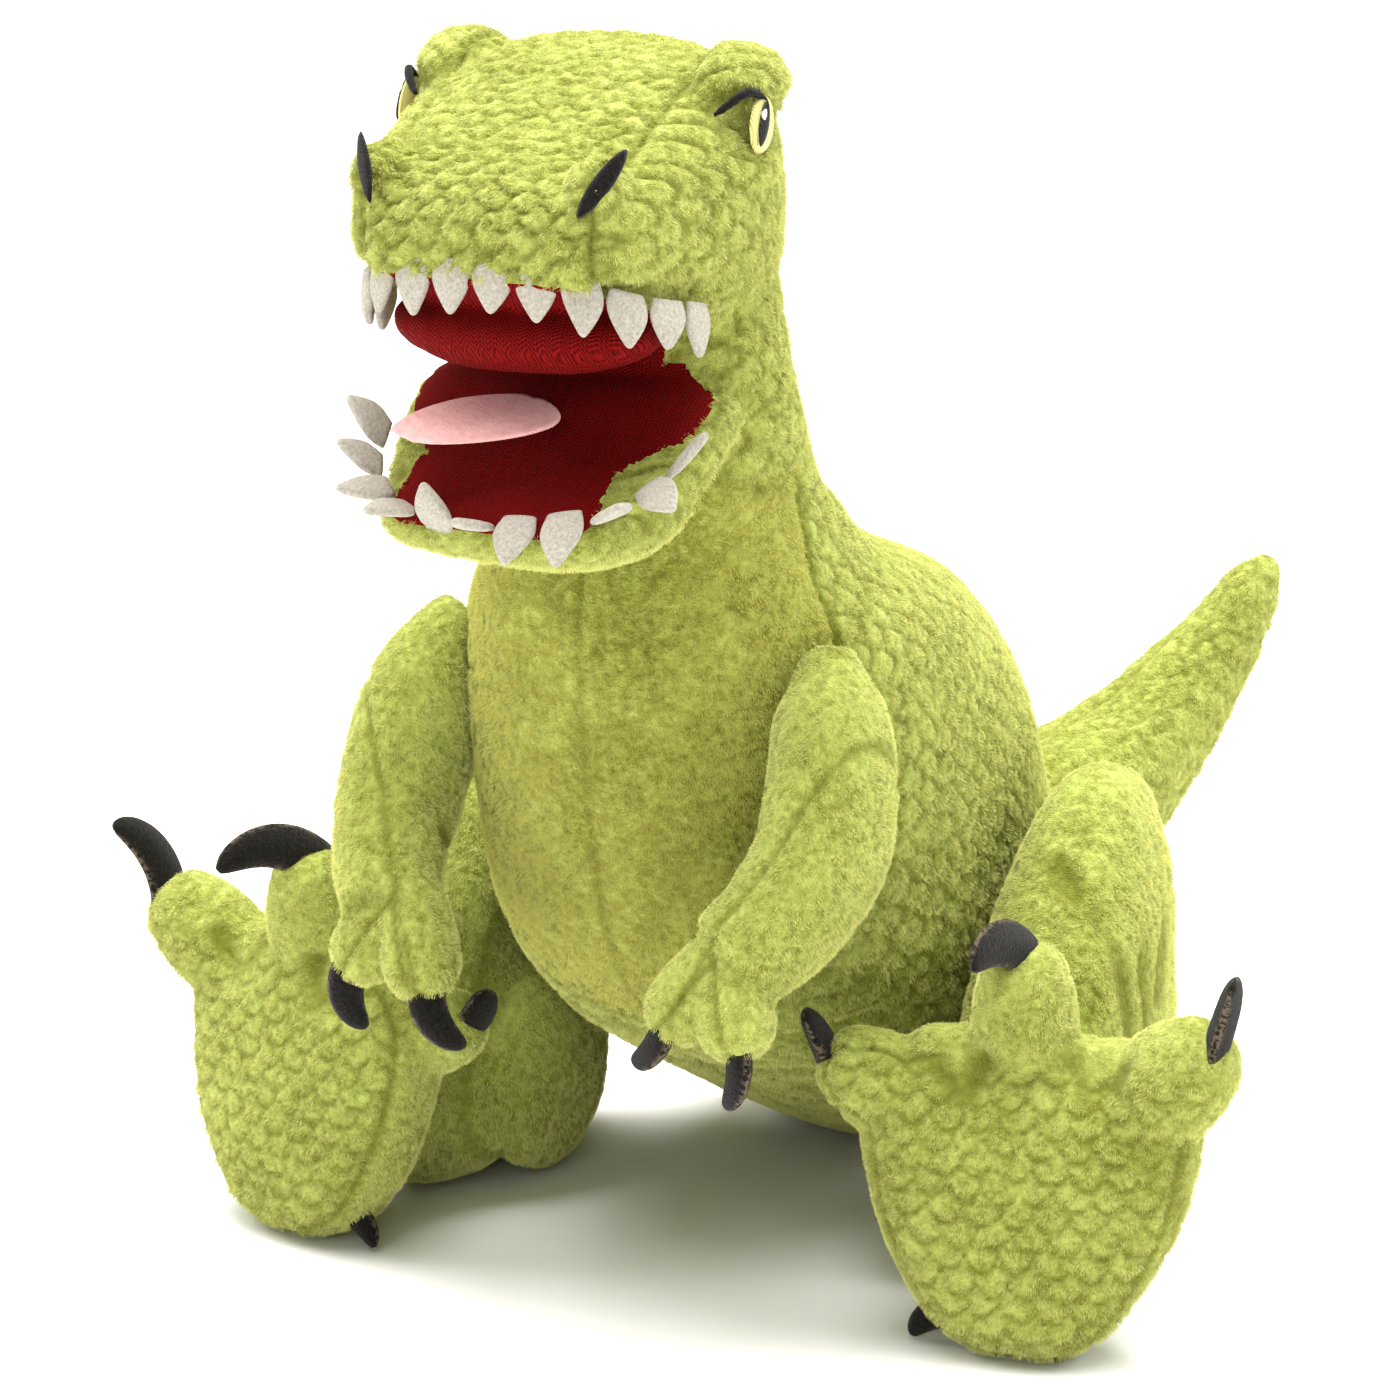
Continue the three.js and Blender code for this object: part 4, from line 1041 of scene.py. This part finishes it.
def mix_colours(tree, factor, first, second, kind="MIX"):
    """One colour over another by a factor. Any of the three may be a socket or a value."""
    node = tree.nodes.new("ShaderNodeMix")
    node.data_type = "RGBA"
    node.blend_type = kind
    for socket, value in ((node.inputs[0], factor), (node.inputs[6], first), (node.inputs[7], second)):
        if isinstance(value, bpy.types.NodeSocket):
            tree.links.new(value, socket)
        else:
            socket.default_value = value
    return node.outputs[2]


def math_node(tree, kind, first, second=0.0):
    """One arithmetic step on one or two sockets or values."""
    node = tree.nodes.new("ShaderNodeMath")
    node.operation = kind
    for socket, value in zip(node.inputs, (first, second)):
        if isinstance(value, bpy.types.NodeSocket):
            tree.links.new(value, socket)
        else:
            socket.default_value = value
    return node.outputs[0]


def build_plush_tone():
    """Light and dark patches of pile, painted shade in the grooves and seams, and its height."""
    group, start, end = new_group(
        "plush_tone",
        [("Vector", "NodeSocketVector", (0, 0, 0)), ("Light", "NodeSocketColor", (1, 1, 1, 1)),
         ("Dark", "NodeSocketColor", (0, 0, 0, 1)), ("Pressed", "NodeSocketFloat", 0.0)],
        [("Colour", "NodeSocketColor"), ("Height", "NodeSocketFloat")],
    )
    vector = start.outputs["Vector"]
    patches = ramp(group, noise_node(group, vector, 38, 2), 0.35, 0.65)
    tufts = ramp(group, noise_node(group, vector, 330, 3), 0.30, 0.70)
    hairs = ramp(group, noise_node(group, vector, 1500, 2), 0.30, 0.70)
    lit = math_node(group, "ADD", math_node(group, "MULTIPLY", patches, 0.30),
                    math_node(group, "MULTIPLY", tufts, 0.70))
    tone = mix_colours(group, lit, start.outputs["Dark"], start.outputs["Light"])
    # Painted shade: the cloth turns towards the dark colour in the grooves and seams.
    groove = math_node(group, "MULTIPLY", start.outputs["Pressed"], 0.75)
    tone = mix_colours(group, groove, tone, start.outputs["Dark"])
    height = math_node(group, "ADD", math_node(group, "MULTIPLY", tufts, 0.7),
                       math_node(group, "MULTIPLY", hairs, 0.3))
    group.links.new(tone, end.inputs["Colour"])
    group.links.new(height, end.inputs["Height"])
    return group


plush_tone = build_plush_tone()
print("shader group:", plush_tone.name)

# %% [markdown]
# ## Plush cloth and its pile
# The cloth itself gets a rough surface with a soft sheen and a fine bump.
# The pile that stands on it gets a material of its own: light at the tip, with painted shade at the root and
# in grooves and seams.

# %% Plush cloth and its pile
# Each dark colour is the cloth's own darker tone in random patches, and also painted shade in grooves and
# seams.
LIME_LIGHT, LIME_DARK = (0.54, 0.60, 0.17, 1), (0.19, 0.20, 0.026, 1)
BELLY_LIGHT, BELLY_DARK = (0.50, 0.53, 0.14, 1), (0.18, 0.18, 0.022, 1)
PINK_LIGHT, PINK_DARK = (0.95, 0.60, 0.56, 1), (0.82, 0.42, 0.40, 1)


def new_material(name, roughness):
    """An empty node material with its shader."""
    material = bpy.data.materials.new(name)
    material.use_nodes = True
    shader = material.node_tree.nodes["Principled BSDF"]
    shader.inputs["Roughness"].default_value = roughness
    return material, material.node_tree, shader


def places_on(tree):
    """Where each point lies, so that a pattern stays on its cloth."""
    return tree.nodes.new("ShaderNodeTexCoord").outputs["Object"]


def kept_value(tree, name):
    """A value that was kept on the mesh."""
    node = tree.nodes.new("ShaderNodeAttribute")
    node.attribute_name = name
    return node.outputs["Fac"]


def raise_surface(tree, shader, height, strength, distance):
    """Lets a height tilt the surface a little, as raised fibres and threads do."""
    lift = tree.nodes.new("ShaderNodeBump")
    lift.inputs["Strength"].default_value = strength
    lift.inputs["Distance"].default_value = distance
    tree.links.new(height, lift.inputs["Height"])
    tree.links.new(lift.outputs["Normal"], shader.inputs["Normal"])


def plush_cloth(name, light, dark, bump, sheen):
    """Ground cloth with short pile."""
    material, tree, shader = new_material(name, 0.95)
    shader.inputs["Sheen Weight"].default_value = sheen
    shader.inputs["Sheen Roughness"].default_value = 0.5
    shader.inputs["Specular IOR Level"].default_value = 0.1
    tone = tree.nodes.new("ShaderNodeGroup")
    tone.node_tree = plush_tone
    tone.inputs["Light"].default_value = light
    tone.inputs["Dark"].default_value = dark
    tree.links.new(places_on(tree), tone.inputs["Vector"])
    # The pressed and sewn places get painted shade in the cloth tone.
    tree.links.new(kept_value(tree, "pressed"), tone.inputs["Pressed"])
    tree.links.new(tone.outputs["Colour"], shader.inputs["Base Color"])
    raise_surface(tree, shader, tone.outputs["Height"], 0.9, bump)
    return material


def pile_hair(name, light, dark):
    """The standing fibres: light at the tip, with painted shade at the root and in grooves and seams, no two
    quite alike.
    """
    material, tree, shader = new_material(name, 0.85)
    shader.inputs["Specular IOR Level"].default_value = 0.03
    strand = tree.nodes.new("ShaderNodeHairInfo")
    # Painted shade: each fibre darkens towards its root, as the pile shades itself.
    along = ramp(tree, strand.outputs["Intercept"], 0.0, 0.85)
    colour = mix_colours(tree, along, dark, light)
    varied = mix_colours(tree, ramp(tree, strand.outputs["Random"], -0.6, 1.6), colour, light)
    # Painted shade: the fibres darken in the grooves and seams.
    shade = math_node(tree, "MULTIPLY", kept_value(tree, "painted_groove_shade"), 0.9)
    varied = mix_colours(tree, shade, varied, dark)
    tree.links.new(varied, shader.inputs["Base Color"])
    return material


green_cloth = plush_cloth("green_plush", LIME_LIGHT, LIME_DARK, 0.0012, 0.12)
belly_cloth = plush_cloth("belly_plush", BELLY_LIGHT, BELLY_DARK, 0.0012, 0.12)
pink_cloth = plush_cloth("pink_plush", PINK_LIGHT, PINK_DARK, 0.0006, 0.3)
# Each pile has a tip colour and a darker one, which is painted shade at the root and in grooves and seams.
green_pile = pile_hair("green_pile", (0.78, 0.79, 0.33, 1), (0.30, 0.28, 0.03, 1))
belly_pile = pile_hair("belly_pile", (0.74, 0.72, 0.25, 1), (0.29, 0.27, 0.025, 1))
print("plush:", [cloth.name for cloth in (green_cloth, belly_cloth, pink_cloth, green_pile, belly_pile)])

# %% [markdown]
# ## Felt, lining and thread
# Felt is a mat of fine fibres with no direction, so two sizes of noise are enough.
# The mouth lining is a coarse woven cloth with a herringbone, made from two crossing waves.

# %% Felt, lining and thread
def felt(name, dark, light, bump, edge=None):
    """Matted fibres, with a lighter stitched rim where edge is given."""
    material, tree, shader = new_material(name, 0.95)
    shader.inputs["Specular IOR Level"].default_value = 0.1
    shader.inputs["Sheen Weight"].default_value = 0.15
    places = places_on(tree)
    mat = ramp(tree, noise_node(tree, places, 900, 4, 0.7), 0.3, 0.7)
    colour = mix_colours(tree, mat, dark, light)
    if edge:
        stitches = ramp(tree, noise_node(tree, places, 620, 1), 0.42, 0.56)
        rim = math_node(tree, "MULTIPLY", kept_value(tree, "rim"), stitches)
        colour = mix_colours(tree, rim, colour, edge)
    tree.links.new(colour, shader.inputs["Base Color"])
    raise_surface(tree, shader, mat, 0.7, bump)
    return material


def axes_of(tree):
    """The three parts of each point's place."""
    axes = tree.nodes.new("ShaderNodeSeparateXYZ")
    tree.links.new(places_on(tree), axes.inputs[0])
    return axes.outputs["X"], axes.outputs["Y"], axes.outputs["Z"]


def waves(tree, value, per_metre):
    """A wave along a value."""
    return math_node(tree, "SINE", math_node(tree, "MULTIPLY", value, per_metre))


ZIGZAG = 0.0026
RIBS, THREADS, STITCHES = 4200.0, 5200.0, 9000.0


def woven_lining():
    """Red cloth woven in fine zigzag ribs."""
    material, tree, shader = new_material("red_lining", 0.8)
    shader.inputs["Specular IOR Level"].default_value = 0.08
    x, y, z = axes_of(tree)
    zigzag = math_node(tree, "PINGPONG", x, ZIGZAG)
    ribs = waves(tree, math_node(tree, "ADD", math_node(tree, "ADD", y, z), zigzag), RIBS)
    threads = waves(tree, x, THREADS)
    weave = math_node(tree, "ADD", math_node(tree, "MULTIPLY", ribs, 0.35),
                      math_node(tree, "MULTIPLY", threads, 0.15))
    weave = math_node(tree, "ADD", weave, 0.5)
    colour = mix_colours(tree, weave, (0.07, 0.003, 0.003, 1), (0.26, 0.009, 0.008, 1))
    tree.links.new(colour, shader.inputs["Base Color"])
    raise_surface(tree, shader, weave, 0.8, 0.0005)
    return material


def satin_thread(name, light, dark):
    """Rows of parallel stitches."""
    material, tree, shader = new_material(name, 0.45)
    rows = waves(tree, axes_of(tree)[1], STITCHES)
    rows = math_node(tree, "ADD", math_node(tree, "MULTIPLY", rows, 0.5), 0.5)
    tree.links.new(mix_colours(tree, rows, dark, light), shader.inputs["Base Color"])
    raise_surface(tree, shader, rows, 0.6, 0.0004)
    return material


STITCH_BROWN = (0.16, 0.12, 0.08, 1)
black_felt = felt("black_felt", (0.006, 0.005, 0.004, 1), (0.030, 0.026, 0.023, 1), 0.0006, STITCH_BROWN)
tooth_felt = felt("tooth_felt", (0.36, 0.33, 0.27, 1), (0.62, 0.58, 0.50, 1), 0.0006)
red_lining = woven_lining()
iris_thread = satin_thread("eye_thread", (0.86, 0.80, 0.38, 1), (0.66, 0.56, 0.16, 1))
black_thread = satin_thread("eye_thread_black", (0.022, 0.019, 0.016, 1), (0.006, 0.005, 0.004, 1))
white_thread = satin_thread("eye_thread_white", (0.92, 0.92, 0.88, 1), (0.72, 0.72, 0.66, 1))
print("materials in all:", len(bpy.data.materials))

# %% [markdown]
# ## Dressing the pieces
# Each piece takes its cloth, and the pattern nodes that it stands for are hidden.

# %% Dressing the pieces
CLOTHS = {
    "green_plush": green_cloth,
    "belly_plush": belly_cloth,
    "pink_plush": pink_cloth,
    "red_lining": red_lining,
    "tooth_felt": tooth_felt,
    "black_felt": black_felt,
}


def dress(piece, slot_name, *nodes, cloth=None):
    """Gives a piece its slot's cloth, or another one, and hides the pattern nodes that it stands for."""
    piece.data.materials.append(cloth or CLOTHS[slot_name])
    if nodes:
        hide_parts(*nodes)


dress(panels["belly_cover"], "belly_plush", "belly_panel", "torso_filling")
dress(panels["seat_cover"], "green_plush", "seat_panel")
dress(panels["snout_cover"], "green_plush", "snout_panel", "head_filling")
dress(panels["palate_cover"], "red_lining", "palate_lining")
dress(panels["mouth_floor_cover"], "red_lining", "jaw_lining")
dress(panels["chin_cover"], "green_plush", "chin_panel", "jaw_filling")
dress(tail, "green_plush", "tail_skin", "tail_filling")
dress(tongue, "pink_plush", "tongue")
dress(upper_teeth, "tooth_felt", "upper_teeth")
dress(lower_teeth, "tooth_felt", "lower_teeth")
for side, word in SIDES.items():
    dress(panels[f"side_cover_{word}"], "green_plush", f"back_panel_{word}", f"cheek_{word}", f"brow_{word}")
    dress(arms[side], "green_plush",
          f"arm_outer_panel_{word}", f"arm_inner_panel_{word}", f"arm_filling_{word}")
    dress(thighs[side], "green_plush", f"thigh_skin_{word}", f"thigh_filling_{word}")
    dress(soles[side], "green_plush", f"sole_panel_{word}")
    dress(feet[side], "green_plush", f"foot_upper_{word}", f"foot_filling_{word}",
          *(f"toe_{toe}_{word}" for toe in TOES[side]))
    for patch, thread in zip(eyes[side], (iris_thread, black_thread, white_thread, black_felt)):
        dress(patch, "eye_thread", cloth=thread)
    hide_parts(f"eye_{word}")
    dress(nostrils[side], "black_felt", f"nostril_{word}")
    for toe in TOES[side]:
        dress(claws[f"claw_{toe}_toe_{word}"], "black_felt", f"toe_claw_{toe}_{word}")
    dress(claws[f"claw_heel_{word}"], "black_felt", f"heel_claw_{word}")
    for finger in ("inner", "outer"):
        dress(claws[f"claw_{finger}_finger_{word}"], "black_felt", f"finger_claw_{finger}_{word}")
print("claws dressed:", sum(len(piece.data.materials) for piece in claws.values()))

# %% [markdown]
# ## Joining the pieces to the bodies
# The hinges of a soft toy are bends in stuffed cloth. A piece that lies on one body rides
# on it. The covers over the neck, the mouth and the tail root join no body here.

# %% Joining the pieces to the bodies
for name in ("belly_cover", "side_cover_left", "side_cover_right"):
    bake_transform(panels[name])
for name in ("chin_cover", "mouth_floor_cover"):
    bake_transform(panels[name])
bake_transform(tail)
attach(panels["seat_cover"], "torso")
face_pieces = [*nostrils.values(), *eyes[1], *eyes[-1]]
for piece in (panels["snout_cover"], panels["palate_cover"], upper_teeth, *face_pieces):
    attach(piece, "head")
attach(lower_teeth, "jaw")
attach(tongue, "tongue")
for side, word in SIDES.items():
    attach(arms[side], f"arm_{word}")
    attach(thighs[side], f"leg_{word}")
    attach(soles[side], f"foot_{word}")
    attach(feet[side], f"foot_{word}")
for name, piece in claws.items():
    word = name.rsplit("_", 1)[1]
    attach(piece, f"arm_{word}" if "finger" in name else f"foot_{word}")
limb_covers = [*arms.values(), *thighs.values(), *feet.values(), *soles.values()]

# %% [markdown]
# ## The standing pile
# The pile is one to two millimetres of soft fibre, combed down and loosely tufted.
# Particle hair grows it from the cloth. It is shorter where the cloth is pressed or sewn.
# Every system has its own seed, so each run grows the same coat.

# %% The standing pile
PILE_LENGTH = 0.0016
HAIR_TIME = 4.0  # a fibre grows for this long at its starting speed
STRANDS_PER_SQUARE_METRE = 220000
CHILDREN = 10
COMB = (0.0, 0.0, -0.4)
LEVELS = 7
PRESSED_SHORTER = 0.7


def pile_weights(piece):
    """A vertex group that shortens the pile where the cloth is pressed or sewn."""
    pressed = np.empty(len(piece.data.vertices))
    piece.data.attributes["pressed"].data.foreach_get("value", pressed)
    weights = piece.vertex_groups.new(name="pile")
    for level in range(LEVELS + 1):
        share = 1 - PRESSED_SHORTER * level / LEVELS
        chosen = np.flatnonzero(np.round(np.clip(pressed, 0, 1) * LEVELS) == level)
        weights.add([int(i) for i in chosen], float(share), "REPLACE")


def grow_pile(piece, hair, seed):
    """A coat of short fibres on one plush piece."""
    pile_weights(piece)
    piece.data.materials.append(hair)
    coat = piece.modifiers.new("pile", "PARTICLE_SYSTEM").particle_system
    coat.seed = seed
    coat.vertex_group_length = "pile"
    look = coat.settings
    look.name = f"pile_{piece.name}"
    look.type = "HAIR"
    area = sum(face.area for face in piece.data.polygons)
    look.count = int(area * STRANDS_PER_SQUARE_METRE)
    look.hair_step = 3
    look.use_advanced_hair = True
    speed = PILE_LENGTH / HAIR_TIME
    look.normal_factor = 0.75 * speed
    look.object_align_factor = tuple(value * speed for value in COMB)
    look.factor_random = 0.20 * speed
    look.material = 2
    look.child_type = "SIMPLE"
    look.rendered_child_count = CHILDREN
    look.child_percent = 1
    look.child_radius = 0.0020
    look.clump_factor = 0.10
    look.roughness_endpoint = 0.0001
    look.display_step = 2
    look.render_step = 2
    look.root_radius = 0.13
    look.tip_radius = 0.07
    look.radius_scale = MM
    return look.count


strands = 0
coats = [(panels[name], green_pile)
         for name in ("side_cover_left", "side_cover_right", "snout_cover", "chin_cover")]
coats.append((panels["belly_cover"], belly_pile))
coats += [(piece, green_pile) for piece in (tail, *limb_covers)]
for number, (piece, hair) in enumerate(coats):
    strands += grow_pile(piece, hair, 100 + number)
print("pile strands before their neighbours are added:", strands)

# %% [markdown]
# ## Floor, light and camera
# A pale floor runs out under an even white sky. A wide lamp above and soft ones at the
# sides light the tops of the shapes and leave their fronts and undersides darker.
# The even light is a wide sun overhead, so the floor doesn't grow dark far away.
# The camera stands to the toy's left, a little above it, at a portrait lens.

# %% Floor, light and camera
scene = bpy.context.scene
scene.view_settings.view_transform = "Standard"
scene.view_settings.look = "Medium High Contrast"
REACH = 6
corners = [(-REACH, -REACH, 0), (REACH, -REACH, 0), (REACH, REACH, 0), (-REACH, REACH, 0)]
floor = new_object("floor", corners, [(0, 1, 2, 3)])
floor_material, floor_tree, floor_shader = new_material("pale_floor", 0.9)
floor_tone = noise_node(floor_tree, places_on(floor_tree), 3, 2)
floor_colour = mix_colours(floor_tree, floor_tone, (0.93, 0.93, 0.925, 1), (0.96, 0.96, 0.955, 1))
floor_tree.links.new(floor_colour, floor_shader.inputs["Base Color"])
floor.data.materials.append(floor_material)

world = bpy.data.worlds.new("studio")
scene.world = world
world.use_nodes = True
SKY_SEEN, SKY_FILL = 1.1, 0.30
sky = world.node_tree.nodes["Background"]
sky.inputs["Color"].default_value = (1, 0.985, 0.96, 1)
ray = world.node_tree.nodes.new("ShaderNodeLightPath")
strength = world.node_tree.nodes.new("ShaderNodeMapRange")
strength.inputs["To Min"].default_value = SKY_FILL
strength.inputs["To Max"].default_value = SKY_SEEN
world.node_tree.links.new(ray.outputs["Is Camera Ray"], strength.inputs["Value"])
world.node_tree.links.new(strength.outputs["Result"], sky.inputs["Strength"])


def soft_lamp(name, place, target, size, power):
    """A large square lamp that points at the target."""
    lamp = bpy.data.lights.new(name, "AREA")
    lamp.size = size
    lamp.energy = power
    lamp_object = bpy.data.objects.new(name, lamp)
    lamp_object.location = place
    lamp_object.rotation_euler = (Vector(target) - Vector(place)).to_track_quat("-Z", "Y").to_euler()
    scene.collection.objects.link(lamp_object)


# Name, place, target, size in metres and power in watts.
LAMPS = [
    ("top", (-0.1, 0.3, 2.2), (0, 0, 0.2), 1.8, 48),
    ("right", (1.7, 0.9, 1.2), (0, 0, 0.2), 1.0, 17),
    ("left", (-1.7, -0.5, 1.2), (0, -0.1, 0.2), 1.0, 17),
    ("front", (0.5, -2.2, 1.0), (0, -0.1, 0.2), 1.2, 8),
]
for lamp in LAMPS:
    soft_lamp(*lamp)
even = bpy.data.lights.new("even", "SUN")
even.energy = 3.2
even.angle = math.radians(60)
even_lamp = bpy.data.objects.new("even", even)
even_lamp.location = (0, 0, 2.5)
scene.collection.objects.link(even_lamp)

CAMERA_TURN, CAMERA_RISE = math.radians(28.3), math.radians(15.0)
CAMERA_DISTANCE, CAMERA_ASIDE, CAMERA_HEIGHT = 1600, -14.8, 196.2  # in pattern millimetres
back_way = np.array([math.sin(CAMERA_TURN) * math.cos(CAMERA_RISE),
                     -math.cos(CAMERA_TURN) * math.cos(CAMERA_RISE), math.sin(CAMERA_RISE)])
right_way = np.array([math.cos(CAMERA_TURN), math.sin(CAMERA_TURN), 0])
camera_data = bpy.data.cameras.new("camera")
camera_data.lens = 115.6
camera_data.sensor_width = 36
camera = bpy.data.objects.new("camera", camera_data)
looked_at = right_way * CAMERA_ASIDE + AXIS_Z * CAMERA_HEIGHT
camera.location = in_frame(looked_at + back_way * CAMERA_DISTANCE)
camera.rotation_euler = Vector(back_way).to_track_quat("Z", "Y").to_euler()
scene.collection.objects.link(camera)
scene.camera = camera
print("camera at", np.round(camera.location, 3))
